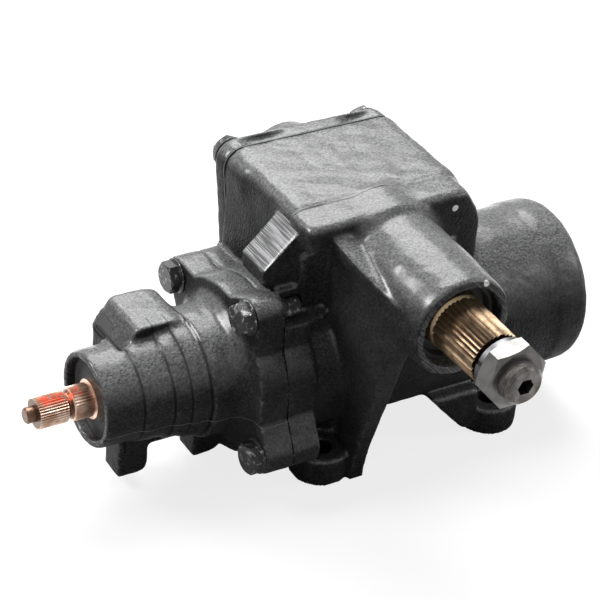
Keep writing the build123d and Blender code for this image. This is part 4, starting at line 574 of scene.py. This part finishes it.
def black_bolt_steel():
    """Blackened, pitted bolt heads with bright spots: chipped paint, and painted glints."""
    finish = Finish("chipped_black_bolt")
    grain = finish.noise(620.0, 4.0, 0.65)
    # Bright spots: partly chipped paint, partly painted glints
    chips_and_glints = finish.noise(330.0, 4.0, 0.6).above(0.54, 0.62)
    colour = finish.mix(chips_and_glints, BOLT_BLACK, CHIP_AND_GLINT_GREY)
    return finish.surface(
        Base_Color=colour,
        Metallic=chips_and_glints * 0.5,
        Specular_IOR_Level=0.3,
        Roughness=0.32 + grain * 0.25,
        Normal=finish.bump(grain + chips_and_glints * 0.6, 0.5 * MM, 0.9),
    )


def metal(name, colour, roughness):
    """Plain worked metal with fine tool marks."""
    finish = Finish(name)
    grain = finish.noise(900.0, 3.0, 0.6)
    patch = finish.noise(110.0, 3.0)
    dark = tuple(0.62 * value for value in colour)
    return finish.surface(
        Base_Color=finish.mix(patch.above(0.3, 0.7), dark, colour),
        Metallic=1.0,
        Roughness=roughness + grain * 0.2 - 0.1,
        Normal=finish.bump(grain, 0.06 * MM, 0.5),
    )


def soft(name, colour, roughness=0.75):
    """Rubber, fibre or plastic with a fine even grain."""
    finish = Finish(name)
    grain = finish.noise(1400.0, 2.0)
    patch = finish.noise(60.0, 3.0)
    light = tuple(1.6 * value for value in colour)
    return finish.surface(
        Base_Color=finish.mix(patch.above(0.35, 0.75), colour, light),
        Roughness=roughness + grain * 0.12 - 0.06,
        Normal=finish.bump(grain, 0.05 * MM, 0.6),
    )


# Finish and material slot of every piece

MAIN_PAINT = cast_paint("main_housing_paint", main_marks)
VALVE_PAINT = cast_paint("valve_housing_paint", valve_marks)
PAINT = cast_paint("cover_paint")
BLACK_BOLT = black_bolt_steel()
GROUND_STEEL = metal("ground_steel", (0.42, 0.42, 0.43), 0.26)
DARK_STEEL = metal("phosphated_steel", (0.11, 0.11, 0.115), 0.42)
ZINC = metal("dull_zinc", (0.125, 0.122, 0.118), 0.42)
BRONZE = metal("bushing_bronze", (0.52, 0.34, 0.15), 0.34)
RUBBER = soft("seal_rubber", (0.008, 0.008, 0.008))
FIBRE = soft("gasket_fibre", (0.02, 0.022, 0.022))
RING = soft("ring_plastic", (0.2, 0.16, 0.1), 0.5)
INPUT_STEEL = input_shaft_steel()
SECTOR_STEEL = sector_shaft_steel()

FINISHES = {
    "main_housing": (MAIN_PAINT, "black_casting"),
    "valve_housing": (VALVE_PAINT, "black_casting"),
    "side_cover": (PAINT, "black_casting"),
    "flange_bolts": (BLACK_BOLT, "black_bolts"),
    "side_cover_bolts": (BLACK_BOLT, "black_bolts"),
    "flange_o_ring": (RUBBER, "seal_rubber"),
    "rear_end_plug": (PAINT, "black_casting"),
    "plug_o_ring": (RUBBER, "seal_rubber"),
    "plug_retaining_ring": (DARK_STEEL, "spring_steel"),
    "side_cover_gasket": (FIBRE, "gasket_paper"),
    "cover_bushing": (BRONZE, "bronze"),
    "adjuster_screw": (DARK_STEEL, "spring_steel"),
    "adjuster_lock_nut": (ZINC, "zinc_plate"),
    "sector_bearing_shell": (GROUND_STEEL, "hard_steel"),
    "sector_bearing_rollers": (GROUND_STEEL, "hard_steel"),
    "sector_seal": (RUBBER, "seal_rubber"),
    "sector_seal_retainer": (DARK_STEEL, "spring_steel"),
    "sector_dust_seal": (RUBBER, "seal_rubber"),
    "worm_bearing_outer_race": (GROUND_STEEL, "hard_steel"),
    "worm_bearing_balls": (GROUND_STEEL, "hard_steel"),
    "bearing_nut": (DARK_STEEL, "spring_steel"),
    "input_needle_bearing": (GROUND_STEEL, "hard_steel"),
    "input_seal": (RUBBER, "seal_rubber"),
    "input_snap_ring": (DARK_STEEL, "spring_steel"),
    "input_dust_seal": (RUBBER, "seal_rubber"),
    "sector_shaft": (SECTOR_STEEL, "bronzed_shaft"),
    "adjuster_retainer": (GROUND_STEEL, "hard_steel"),
    "pitman_nut": (ZINC, "zinc_plate"),
    "pitman_washer": (DARK_STEEL, "spring_steel"),
    "rack_piston": (GROUND_STEEL, "hard_steel"),
    "piston_ring": (RING, "ring_plastic"),
    "piston_ring_backing": (RUBBER, "seal_rubber"),
    "piston_plug": (GROUND_STEEL, "hard_steel"),
    "recirculating_balls": (GROUND_STEEL, "hard_steel"),
    "ball_guide_halves": (DARK_STEEL, "spring_steel"),
    "guide_strap": (DARK_STEEL, "spring_steel"),
    "strap_screws": (DARK_STEEL, "spring_steel"),
    "worm": (GROUND_STEEL, "hard_steel"),
    "worm_bearing_inner_race": (GROUND_STEEL, "hard_steel"),
    "valve_sleeve": (GROUND_STEEL, "hard_steel"),
    "sleeve_rings": (RING, "ring_plastic"),
    "sleeve_pin": (GROUND_STEEL, "hard_steel"),
    "lower_bar_pin": (GROUND_STEEL, "hard_steel"),
    "input_shaft": (INPUT_STEEL, "bronzed_shaft"),
    "torsion_bar": (DARK_STEEL, "spring_steel"),
    "upper_bar_pin": (GROUND_STEEL, "hard_steel"),
}


# Castings


def plain_mesh(obj):
    """The evaluated object as a mesh of its own."""
    graph = bpy.context.evaluated_depsgraph_get()
    graph.update()
    return bpy.data.meshes.new_from_object(obj.evaluated_get(graph), depsgraph=graph)


def new_object(name, mesh):
    obj = bpy.data.objects.new(name, mesh)
    bpy.context.scene.collection.objects.link(obj)
    return obj


def gear(x, y, z):
    """Point given in millimetres from the worm's axis below the sector shaft, in the row frame."""
    return Vector((SECTOR_X + x * MM, y * MM, WORM_Z + z * MM))


def solid_from(work, name):
    bmesh.ops.recalc_face_normals(work, faces=work.faces)
    mesh = bpy.data.meshes.new(name)
    work.to_mesh(mesh)
    work.free()
    return new_object(name, mesh)


def hull(corners):
    """Convex solid round the corners."""
    work = bmesh.new()
    for corner in corners:
        work.verts.new(gear(*corner))
    bmesh.ops.convex_hull(work, input=work.verts)
    return solid_from(work, "added_form")


def prism(outline, span, bevel=0.0):
    """Solid of a convex outline in X and Z, run over the span in Y, its edges rounded."""
    work = bmesh.new()
    for y in span:
        for x, z in outline:
            work.verts.new(gear(x, y, z))
    bmesh.ops.convex_hull(work, input=work.verts)
    bmesh.ops.dissolve_limit(work, angle_limit=FLAT_ANGLE, verts=work.verts, edges=work.edges)
    if bevel:
        bmesh.ops.bevel(
            work, geom=work.edges[:], offset=bevel * MM, segments=EDGE_SEGMENTS, profile=0.5,
            affect="EDGES", clamp_overlap=True,
        )
    return solid_from(work, "added_form")


def on_axis(along, place, one, two):
    """Coordinates from the place on the axis "x" or "y" and the two places across it."""
    return (place, one, two) if along == "x" else (one, place, two)


def turned_form(profile, along, across, up, steps=FORM_STEPS):
    """Ring or disc turned from (place, radius) corners about an axis through across and up."""
    work = bmesh.new()
    rings = []
    for place, radius in profile:
        ring = []
        for step in range(steps):
            turn = 2 * math.pi * step / steps
            one, two = across + radius * math.cos(turn), up + radius * math.sin(turn)
            ring.append(gear(*on_axis(along, place, one, two)))
        rings.append(ring)
    ring_solid(work, rings, True)
    return solid_from(work, "added_form")


def rod(along, span, radius, across, up, ceiling=math.inf):
    """Solid cylinder on the axis "x" or "y" through across and up, flat above the ceiling."""
    corners = []
    for place in span:
        for step in range(ROD_STEPS):
            turn = 2 * math.pi * step / ROD_STEPS
            one, two = across + radius * math.cos(turn), min(up + radius * math.sin(turn), ceiling)
            corners.append(on_axis(along, place, one, two))
    return hull(corners)


def one_mesh(objects, name):
    """All the objects' meshes as one object; the objects go."""
    work = bmesh.new()
    for obj in objects:
        work.from_mesh(obj.data)
        bpy.data.objects.remove(obj)
    return solid_from(work, name)


def merged_copy(node, name):
    """A closed copy of a node's mesh, its doubles merged."""
    work = bmesh.new()
    work.from_mesh(NODES[node].data)
    bmesh.ops.remove_doubles(work, verts=work.verts, dist=CAST_MERGE)
    return solid_from(work, name)


def reshaped(node, name, added, cuts):
    """A node's casting with its added forms fused to it and then its cuts made, for the remesh to even."""
    obj = merged_copy(node, name)
    if added:
        obj = one_mesh([obj] + added, name)
    if cuts:
        obj = through(obj, "REMESH", mode="VOXEL", voxel_size=CAST_VOXEL)
    for cutter in cuts:
        obj = through(obj, "BOOLEAN", operation="DIFFERENCE", object=cutter, solver="MANIFOLD")
        bpy.data.objects.remove(cutter)
    return obj


def through(obj, kind, **settings):
    """Runs one modifier on the object and keeps only its result."""
    modifier = obj.modifiers.new(kind, kind)
    for key, value in settings.items():
        setattr(modifier, key, value)
    mesh = plain_mesh(obj)
    obj.modifiers.clear()
    old = obj.data
    obj.data = mesh
    bpy.data.meshes.remove(old)
    return obj


def rows_of(mesh, name):
    """The vertices' places ("co") or normals ("normal"), one row each."""
    rows = np.empty(len(mesh.vertices) * 3)
    mesh.vertices.foreach_get(name, rows)
    return rows.reshape(-1, 3)


def set_points(mesh, points):
    mesh.vertices.foreach_set("co", points.ravel())
    mesh.update()


def relaxed(mesh, points, keep):
    """Points drawn towards their neighbours' middle, less where keep is high."""
    edges = np.empty(len(mesh.edges) * 2, np.int32)
    mesh.edges.foreach_get("vertices", edges)
    a, b = edges.reshape(-1, 2).T
    count = np.bincount(a, minlength=len(points)) + np.bincount(b, minlength=len(points))
    pull = (CAST_SMOOTHING_SHARE * (1.0 - keep))[:, None]
    for _ in range(CAST_SMOOTHING):
        total = np.zeros_like(points)
        for axis in range(3):
            total[:, axis] = np.bincount(a, points[b, axis], len(points)) + np.bincount(
                b, points[a, axis], len(points)
            )
        middle = total / count[:, None]
        points = points + (middle - points) * pull
    return points


def waves(points, length, seed):
    """Smooth random height field of about the given wave length, between about -1 and 1."""
    random = np.random.default_rng(seed)
    way = random.normal(size=(WAVE_TERMS, 3))
    way /= np.linalg.norm(way, axis=1)[:, None]
    way *= 2 * math.pi / (length * random.uniform(0.6, 1.6, WAVE_TERMS))[:, None]
    phase = random.uniform(0, 2 * math.pi, WAVE_TERMS)
    return np.sin(points @ way.T + phase).sum(axis=1) / math.sqrt(WAVE_TERMS)


def rough_skin(mesh, points, keep, seed):
    """Points with rounded joins, lifted in long and short waves."""
    points = relaxed(mesh, points, keep)
    set_points(mesh, points)
    lift = waves(points, LONG_WAVE, seed) + SHORT_WAVE_SHARE * waves(points, SHORT_WAVE, seed + 1)
    return points + rows_of(mesh, "normal") * (lift * CAST_WAVES * (1.0 - keep))[:, None]


def thinned(obj):
    """The casting with fewer triangles, smooth apart from its hard edges."""
    obj.data.calc_loop_triangles()
    ratio = min(1.0, CAST_TRIANGLES / len(obj.data.loop_triangles))
    obj = through(obj, "DECIMATE", ratio=ratio)
    obj.data.polygons.foreach_set("use_smooth", np.ones(len(obj.data.polygons), bool))
    obj.data.set_sharp_from_angle(angle=SHARP_ANGLE)
    return obj


def casting(node, machined_zones, seed, added=(), cuts=(), shift=None):
    """A node's casting with rounded joins and an uneven skin, crisp where it was machined."""
    shape = reshaped(node, node + "_cast", added, cuts)
    obj = through(shape, "REMESH", mode="VOXEL", voxel_size=CAST_VOXEL)
    mesh = obj.data
    points = rows_of(mesh, "co")
    if shift:
        points = shift(points)
        set_points(mesh, points)
    keep, bare = machined_zones(points, rows_of(mesh, "normal"))
    points = rough_skin(mesh, points, keep, seed)
    for name, values in (("machined", keep), ("bare", bare)):
        layer = mesh.attributes.new(name, "FLOAT", "POINT")
        layer.data.foreach_set("value", values.astype(np.float32))
    set_points(mesh, np.clip(points, *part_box(node)))
    obj = thinned(obj)
    dress(obj, *FINISHES[node])
    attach(obj, "housing")
    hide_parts(node)


def dress(obj, material, slot):
    obj.data.materials.clear()
    obj.data.materials.append(material)


def near(values, low, high):
    """1 between low and high, fading to 0 outside them."""
    inside = np.minimum(values - low, high - values)
    return np.clip(inside / FACE_BLUR + 1.0, 0.0, 1.0)


def main_forms():
    """Front shelf, web flare, rear collar, cross rib and lug gussets of the main housing."""
    forms = [
        prism(SHELF, FRONT_SPAN, SHELF_EDGE),
        prism(CHAMBER_FRONT, FRONT_SPAN, CHAMBER_FRONT_EDGE),
        hull(WEB_FLARE),
        turned_form(COLLAR, "x", 0.0, 0.0),
        prism(CROSS_RIB, CROSS_RIB_SPAN, CROSS_RIB_EDGE),
    ]
    return forms + [prism(GUSSET, span, GUSSET_EDGE) for span in GUSSET_SPANS]


def main_cuts():
    """Hollow under the shelf's left end, and the rooms that stay open."""
    return [
        prism(HOLLOW, HOLLOW_SPAN, HOLLOW_EDGE),
        rod("x", PISTON_BORE_SPAN, PISTON_BORE, 0.0, 0.0),
        rod("y", GEAR_ROOM_SPAN, GEAR_ROOM, 0.0, SECTOR_HEIGHT, GEAR_ROOM_TOP),
        rod("y", GEAR_ROOM_SPAN, HUB_ROOM, 0.0, SECTOR_HEIGHT),
        rod("y", BEARING_ROOM_SPAN, BEARING_ROOM, 0.0, SECTOR_HEIGHT),
    ]


def valve_cuts():
    """Corners cut off the feet and off the port block."""
    cuts = [prism(outline, FOOT_SPAN) for outline in FOOT_CORNERS]
    return cuts + [prism(PORT_CORNER, PORT_CORNER_SPAN)]


def cover_cuts():
    """The two shallow curved pockets in the side cover's top edge, behind its outer rim."""
    cuts = []
    for middle, half in COVER_POCKETS:
        radius = (half**2 + POCKET_DEPTH**2) / (2 * POCKET_DEPTH)
        ends = (
            (POCKET_FRONT, radius), (POCKET_BACK, radius),
            (POCKET_BACK, POCKET_CORE), (POCKET_FRONT, POCKET_CORE),
        )
        cuts.append(turned_form(ends, "y", middle, COVER_TOP - POCKET_DEPTH + radius, POCKET_STEPS))
    return cuts


def slimmer_tube(points):
    """Sector shaft tube drawn in, most at its root."""
    x, y, z = points.T
    a, b = x - SECTOR_X, z - SECTOR_Z
    radius = np.hypot(a, b)
    surface = np.interp(y, TUBE_PLACES, TUBE_RADII)
    inward = np.interp(y, TUBE_PLACES, TUBE_SLIMMING)
    inside = np.clip((radius - TUBE_INNER) / TUBE_INNER_FADE, 0.0, 1.0)
    outside = np.clip((surface + TUBE_REACH - radius) / TUBE_FADE, 0.0, 1.0)
    tube_only = np.clip((TUBE_ROOT_Y - y) / TUBE_FADE, 0.0, 1.0)
    share = 1.0 - inward * inside * outside * tube_only / radius
    return np.column_stack((SECTOR_X + a * share, y, SECTOR_Z + b * share))


def machined_face(values, facing, span):
    """1 on a flat machined face, whose points lie in the span and face across it."""
    return near(values, *span) * (facing > FACING)


def main_housing_machined(points, normals):
    """Machined share and bare share of the main housing's points."""
    x, y, z = points.T
    facing = np.abs(normals.T)
    pad = near(x - z, *PAD_SPAN) * near(y, *PAD_DEPTH_Y)
    pad = pad * ((normals[:, 2] - normals[:, 0]) > PAD_FACING)
    mouth = machined_face(y, facing[1], TUBE_MOUTH_SPAN)
    joints = machined_face(x, facing[0], JOINT_X)
    joints = np.maximum(joints, machined_face(y, facing[1], COVER_JOINT_Y))
    joints = np.maximum(joints, machined_face(z, facing[2], MOUNTING_Z))
    return np.maximum.reduce([pad, mouth, joints]), np.maximum(pad, TUBE_MOUTH_BARE * mouth)


def valve_housing_machined(points, normals):
    """Machined share and bare share of the valve housing's points."""
    x, y, z = points.T
    facing = np.abs(normals[:, 0])
    joint = machined_face(x, facing, JOINT_X)
    mouth = machined_face(x, facing, INPUT_MOUTH_X)
    ports = 0.0 * x
    for place, radius in PORTS:
        away = np.hypot(x - place, z - PORT_HEIGHT)
        ports = np.maximum(ports, (away < radius) * near(y, *PORT_DEPTH_Y))
    return np.maximum.reduce([joint, mouth, ports]), INPUT_MOUTH_BARE * mouth


def side_cover_machined(points, normals):
    """Machined share and bare share of the side cover's points."""
    joint = machined_face(points[:, 1], np.abs(normals[:, 1]), COVER_FACE_Y)
    return joint, 0.0 * joint


# Nuts, bolts and washer


def seat(axis, side, origin):
    """Frame of a fastener: its Z is the axis it points along and its X is the given side."""
    axis, side = Vector(axis), Vector(side)
    return Matrix.Translation(origin) @ Matrix((side, axis.cross(side), axis)).transposed().to_4x4()


def hexagon_radius(angle, across):
    """Distance from the middle to the hexagon's side in the direction of the angle."""
    sixth = math.pi / 3
    return across / 2 / math.cos((angle % sixth) - sixth / 2)


def hex_rings(across, height, low_crown, inner):
    """Rings of points of a hexagon with turned crowns, from its low inner edge to its high one."""
    crown = across / 2 * CROWN_SHARE
    rings = [[] for _ in range(6)]
    for step in range(HEX_STEPS):
        angle = 2 * math.pi * step / HEX_STEPS
        side = hexagon_radius(angle, across)
        drop = (side - crown) * CROWN_SLOPE
        low = drop if low_crown else 0.0
        profile = (
            (inner, 0.0), (crown if low_crown else side, 0.0), (side, low),
            (side, height - drop), (crown, height), (inner, height),
        )
        for ring, (radius, z) in zip(rings, profile):
            ring.append((radius * math.cos(angle), radius * math.sin(angle), z))
    return rings


def lathe_rings(profile, steps=HEX_STEPS):
    """Rings of points of a turned shape from (radius, z) corners."""
    turns = [2 * math.pi * step / steps for step in range(steps)]
    return [
        [(radius * math.cos(turn), radius * math.sin(turn), z) for turn in turns] for radius, z in profile
    ]


def skin(work, low, high):
    """Faces between two closed rings of vertices."""
    count = len(low)
    for step in range(count):
        after = (step + 1) % count
        work.faces.new((low[step], low[after], high[after], high[step]))


def ring_solid(work, rings, hollow):
    """Skins the rings round, and closes the solid across the middle or through its bore."""
    loops = [[work.verts.new(point) for point in ring] for ring in rings]
    pairs = list(zip(loops, loops[1:]))
    if hollow:
        pairs.append((loops[-1], loops[0]))
    else:
        work.faces.new(loops[0])
        work.faces.new(loops[-1])
    for low, high in pairs:
        skin(work, low, high)


def finished(work, name, frame_matrix):
    """The work mesh as an object in the row frame, faces outward and hard edges sharp."""
    bmesh.ops.remove_doubles(work, verts=work.verts, dist=FINE_MERGE)
    bmesh.ops.recalc_face_normals(work, faces=work.faces)
    bmesh.ops.transform(work, matrix=frame_matrix, verts=work.verts)
    mesh = bpy.data.meshes.new(name)
    work.to_mesh(mesh)
    work.free()
    mesh.polygons.foreach_set("use_smooth", np.ones(len(mesh.polygons), bool))
    mesh.set_sharp_from_angle(angle=HARD_ANGLE)
    return new_object(name, mesh)


def hex_flange_bolt(name, head_height):
    """Bolt with a hexagon on a thin flange, its head on +Z and its shank below z = 0."""
    work = bmesh.new()
    ring_solid(work, lathe_rings((
        (BOLT_FLANGE_RADIUS - BRIM_CHAMFER, 0.0), (BOLT_FLANGE_RADIUS, BRIM_CHAMFER),
        (BOLT_FLANGE_RADIUS, BRIM_EDGE), (BOLT_ACROSS / 2 * CROWN_SHARE, BRIM_HEIGHT + BRIM_RISE),
    )), False)
    head = hex_rings(BOLT_ACROSS, head_height - BRIM_HEIGHT, False, HEAD_CORE)
    head = [[(x, y, z + BRIM_HEIGHT) for x, y, z in ring] for ring in head]
    ring_solid(work, head, False)
    ring_solid(work, lathe_rings((
        (SHANK_RADIUS - SHANK_CHAMFER, -BOLT_SHANK), (SHANK_RADIUS, SHANK_CHAMFER - BOLT_SHANK),
        (SHANK_RADIUS, SHANK_OVERLAP),
    ), SHANK_STEPS), False)
    return finished(work, name, Matrix.Identity(4))


def group_input(group, name, kind, value=None):
    """Adds a named input to the node group and returns its identifier."""
    socket = group.interface.new_socket(name, in_out="INPUT", socket_type=kind)
    if value is not None:
        socket.default_value = value
    return socket.identifier


def bolt_set_tree():
    """Geometry nodes that put a bolt on every point, each turned by a random share of a hexagon."""
    group = bpy.data.node_groups.new("bolt_set", "GeometryNodeTree")
    ids = {
        "Seats": group_input(group, "Seats", "NodeSocketGeometry"),
        "Bolt": group_input(group, "Bolt", "NodeSocketObject"),
        "Seed": group_input(group, "Seed", "NodeSocketInt", 1),
        "Finish": group_input(group, "Finish", "NodeSocketMaterial"),
    }
    group.interface.new_socket("Bolts", in_out="OUTPUT", socket_type="NodeSocketGeometry")
    nodes, links = group.nodes, group.links
    given, result = nodes.new("NodeGroupInput"), nodes.new("NodeGroupOutput")
    model = nodes.new("GeometryNodeObjectInfo")
    spin = nodes.new("FunctionNodeRandomValue")
    spin.data_type = "FLOAT"
    turn = nodes.new("ShaderNodeCombineXYZ")
    place = nodes.new("GeometryNodeInstanceOnPoints")
    whole = nodes.new("GeometryNodeRealizeInstances")
    paint = nodes.new("GeometryNodeSetMaterial")
    spin.inputs["Max"].default_value = math.pi / 3
    links.new(given.outputs["Bolt"], model.inputs["Object"])
    links.new(given.outputs["Seed"], spin.inputs["Seed"])
    links.new(next(out for out in spin.outputs if out.enabled), turn.inputs["Z"])
    links.new(given.outputs["Seats"], place.inputs["Points"])
    links.new(model.outputs["Geometry"], place.inputs["Instance"])
    links.new(turn.outputs[0], place.inputs["Rotation"])
    links.new(place.outputs[0], whole.inputs[0])
    links.new(whole.outputs[0], paint.inputs["Geometry"])
    links.new(given.outputs["Finish"], paint.inputs["Material"])
    links.new(paint.outputs[0], result.inputs[0])
    return group, ids


def bolt_set(node, tree, bolt, seats, frame_matrix, seed):
    """The bolts of one node at their seats, as one plain mesh."""
    group, ids = tree
    mesh = bpy.data.meshes.new(node + "_seats")
    inward = frame_matrix.inverted()
    mesh.from_pydata([inward @ Vector(place) for place in seats], [], [])
    obj = new_object(node + "_set", mesh)
    modifier = obj.modifiers.new("bolts", "NODES")
    modifier.node_group = group
    modifier[ids["Bolt"]] = bolt
    modifier[ids["Seed"]] = seed
    modifier[ids["Finish"]] = FINISHES[node][0]
    obj.data = plain_mesh(obj)
    obj.modifiers.clear()
    obj.data.transform(frame_matrix)
    dress(obj, *FINISHES[node])
    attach(obj, "housing")
    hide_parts(node)
    bpy.data.objects.remove(bolt)


def flange_seats():
    places = []
    for index in range(EAR_COUNT):
        angle = math.radians(EAR_FIRST_ANGLE + index * 360.0 / EAR_COUNT)
        places.append((FLANGE_HEAD_X, -EAR_RING * math.cos(angle), WORM_Z + EAR_RING * math.sin(angle)))
    return places


def cover_seats():
    return [(SECTOR_X + x * MM, COVER_HEAD_Y, SECTOR_Z + z * MM) for x, z in COVER_BOLTS]


def ride_sector(obj, node):
    dress(obj, *FINISHES[node])
    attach(obj, "sector")
    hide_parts(node)


def shaft_nut():
    """Hexagon nut of the sector shaft, crowned on both faces."""
    work = bmesh.new()
    ring_solid(work, hex_rings(NUT_ACROSS, NUT_HEIGHT, True, NUT_BORE), True)
    place = seat((0, -1, 0), (1, 0, 0), (SECTOR_X, NUT_BACK_Y, SECTOR_Z))
    turn = Matrix.Rotation(math.radians(NUT_SPIN), 4, "Z")
    ride_sector(finished(work, "shaft_nut", place @ turn), "pitman_nut")


def washer_section(share):
    """Corners of the washer's section at a share of its turn."""
    turn = math.radians(WASHER_GAP / 2 + (360.0 - WASHER_GAP) * share + WASHER_START)
    low = WASHER_TWIST * share
    high = low + WASHER_THICKNESS - WASHER_TWIST
    corners = ((WASHER_BORE, low), (WASHER_RADIUS, low), (WASHER_RADIUS, high), (WASHER_BORE, high))
    return [(radius * math.cos(turn), radius * math.sin(turn), z) for radius, z in corners]


def lock_washer():
    """Split spring washer; its two ends stand a little apart."""
    work = bmesh.new()
    sections = []
    for step in range(HEX_STEPS + 1):
        sections.append([work.verts.new(point) for point in washer_section(step / HEX_STEPS)])
    for one, two in zip(sections, sections[1:]):
        skin(work, one, two)
    work.faces.new(sections[0])
    work.faces.new(sections[-1])
    seat_y = NUT_BACK_Y + WASHER_THICKNESS + WASHER_STAND
    place = seat((0, -1, 0), (1, 0, 0), (SECTOR_X, seat_y, SECTOR_Z))
    ride_sector(finished(work, "lock_washer", place), "pitman_washer")


def dust_seal():
    """Turned rubber seal in the mouth of the sector shaft's tube."""
    seal = turned_form(DUST_SEAL, "y", 0.0, SECTOR_HEIGHT)
    seal.name = seal.data.name = "sector_dust_seal_turned"
    dress(seal, *FINISHES["sector_dust_seal"])
    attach(seal, "housing")
    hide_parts("sector_dust_seal")


# Stage


def look_at(place, aim, roll):
    """Turn of a camera or lamp at place that looks at aim; roll leans the picture clockwise."""
    back = (place - aim).normalized()
    right = Vector((0, 0, 1)).cross(back).normalized()
    turn = Matrix((right, back.cross(right), back)).transposed()
    return turn.to_4x4() @ Matrix.Rotation(math.radians(roll), 4, "Z")


def direction(azimuth, elevation):
    """Unit vector from the object towards a viewer; azimuth 0 looks along +Y."""
    a, e = math.radians(azimuth), math.radians(elevation)
    return Vector((math.sin(a) * math.cos(e), -math.cos(a) * math.cos(e), math.sin(e)))


def add_camera():
    back = direction(CAMERA_AZIMUTH, CAMERA_ELEVATION)
    place = GEAR_ORIGIN + back * CAMERA_DISTANCE
    turn = look_at(place, GEAR_ORIGIN, CAMERA_ROLL)
    right, up = turn.col[0].to_3d(), turn.col[1].to_3d()
    aim = GEAR_ORIGIN + right * AIM_RIGHT + up * AIM_UP
    data = bpy.data.cameras.new("camera")
    data.lens = CAMERA_LENS
    data.clip_start = CAMERA_NEAR
    camera = new_object("camera", data)
    camera.matrix_world = Matrix.Translation(place) @ look_at(place, aim, CAMERA_ROLL)
    bpy.context.scene.camera = camera


def add_lamp(name, azimuth, elevation, distance, size, power):
    data = bpy.data.lights.new(name, "AREA")
    data.shape = "DISK"
    data.size = size
    data.energy = power
    lamp = new_object(name, data)
    place = LAMP_AIM + direction(azimuth, elevation) * distance
    lamp.matrix_world = Matrix.Translation(place) @ look_at(place, LAMP_AIM, 0.0)


def add_stage():
    """White floor under the object, which keeps its shadow."""
    finish = Finish("floor_white")
    shown = finish.add("ShaderNodeLightPath", {}, {}, "Is Camera Ray")
    white = finish.add("ShaderNodeEmission", {}, {"Color": (1.0, 1.0, 1.0), "Strength": 1.0})
    finish.surface(Base_Color=FLOOR_COLOUR, Roughness=0.9)
    output = next(node for node in finish.tree.nodes if node.type == "OUTPUT_MATERIAL")
    shader = Wire(finish, finish.shader.outputs[0])
    blend = finish.add("ShaderNodeMixShader", {}, {0: shown * FLOOR_GLOW, 1: shader, 2: white})
    finish.plug(output.inputs[0], blend)
    half, low = FLOOR_HALF, cad_box[0][2]
    mesh = bpy.data.meshes.new("floor")
    corners = [(-half, -half, low), (half, -half, low), (half, half, low), (-half, half, low)]
    mesh.from_pydata(corners, [], [(0, 1, 2, 3)])
    floor = new_object("floor", mesh)
    floor.data.materials.append(finish.material)


def add_world():
    world = bpy.data.worlds.new("studio")
    world.use_nodes = True
    nodes, links = world.node_tree.nodes, world.node_tree.links
    background = nodes["Background"]
    path = nodes.new("ShaderNodeLightPath")
    seen = nodes.new("ShaderNodeMath")
    seen.operation = "MAXIMUM"
    links.new(path.outputs["Is Camera Ray"], seen.inputs[0])
    links.new(path.outputs["Is Transmission Ray"], seen.inputs[1])
    also = nodes.new("ShaderNodeMath")
    also.operation = "MAXIMUM"
    links.new(seen.outputs[0], also.inputs[0])
    links.new(path.outputs["Is Glossy Ray"], also.inputs[1])
    level = nodes.new("ShaderNodeMapRange")
    level.inputs["To Min"].default_value = WORLD_FILL
    level.inputs["To Max"].default_value = 1.0
    links.new(also.outputs[0], level.inputs["Value"])
    links.new(level.outputs[0], background.inputs["Strength"])
    background.inputs["Color"].default_value = (1.0, 1.0, 1.0, 1.0)
    bpy.context.scene.world = world


# The object

for node_name, (material, _) in FINISHES.items():
    piece = NODES[node_name]
    piece.data.materials.clear()
    piece.data.materials.append(material)

casting("main_housing", main_housing_machined, 11, main_forms(), main_cuts(), slimmer_tube)
casting("valve_housing", valve_housing_machined, 23, cuts=valve_cuts())
casting("side_cover", side_cover_machined, 37, cuts=cover_cuts())
dust_seal()
BOLT_TREE = bolt_set_tree()
bolt_set(
    "flange_bolts", BOLT_TREE, hex_flange_bolt("flange_bolt", FLANGE_HEAD_HEIGHT), flange_seats(),
    seat((-1, 0, 0), (0, 1, 0), (FLANGE_HEAD_X, 0, WORM_Z)), 4,
)
bolt_set(
    "side_cover_bolts", BOLT_TREE, hex_flange_bolt("cover_bolt", COVER_HEAD_HEIGHT), cover_seats(),
    seat((0, 1, 0), (1, 0, 0), (SECTOR_X, COVER_HEAD_Y, SECTOR_Z)), 7,
)
shaft_nut()
lock_washer()

add_camera()
add_stage()
add_world()
for lamp_name, lamp_values in LAMPS.items():
    add_lamp(lamp_name, *lamp_values)

bpy.context.scene.view_settings.view_transform = "Standard"
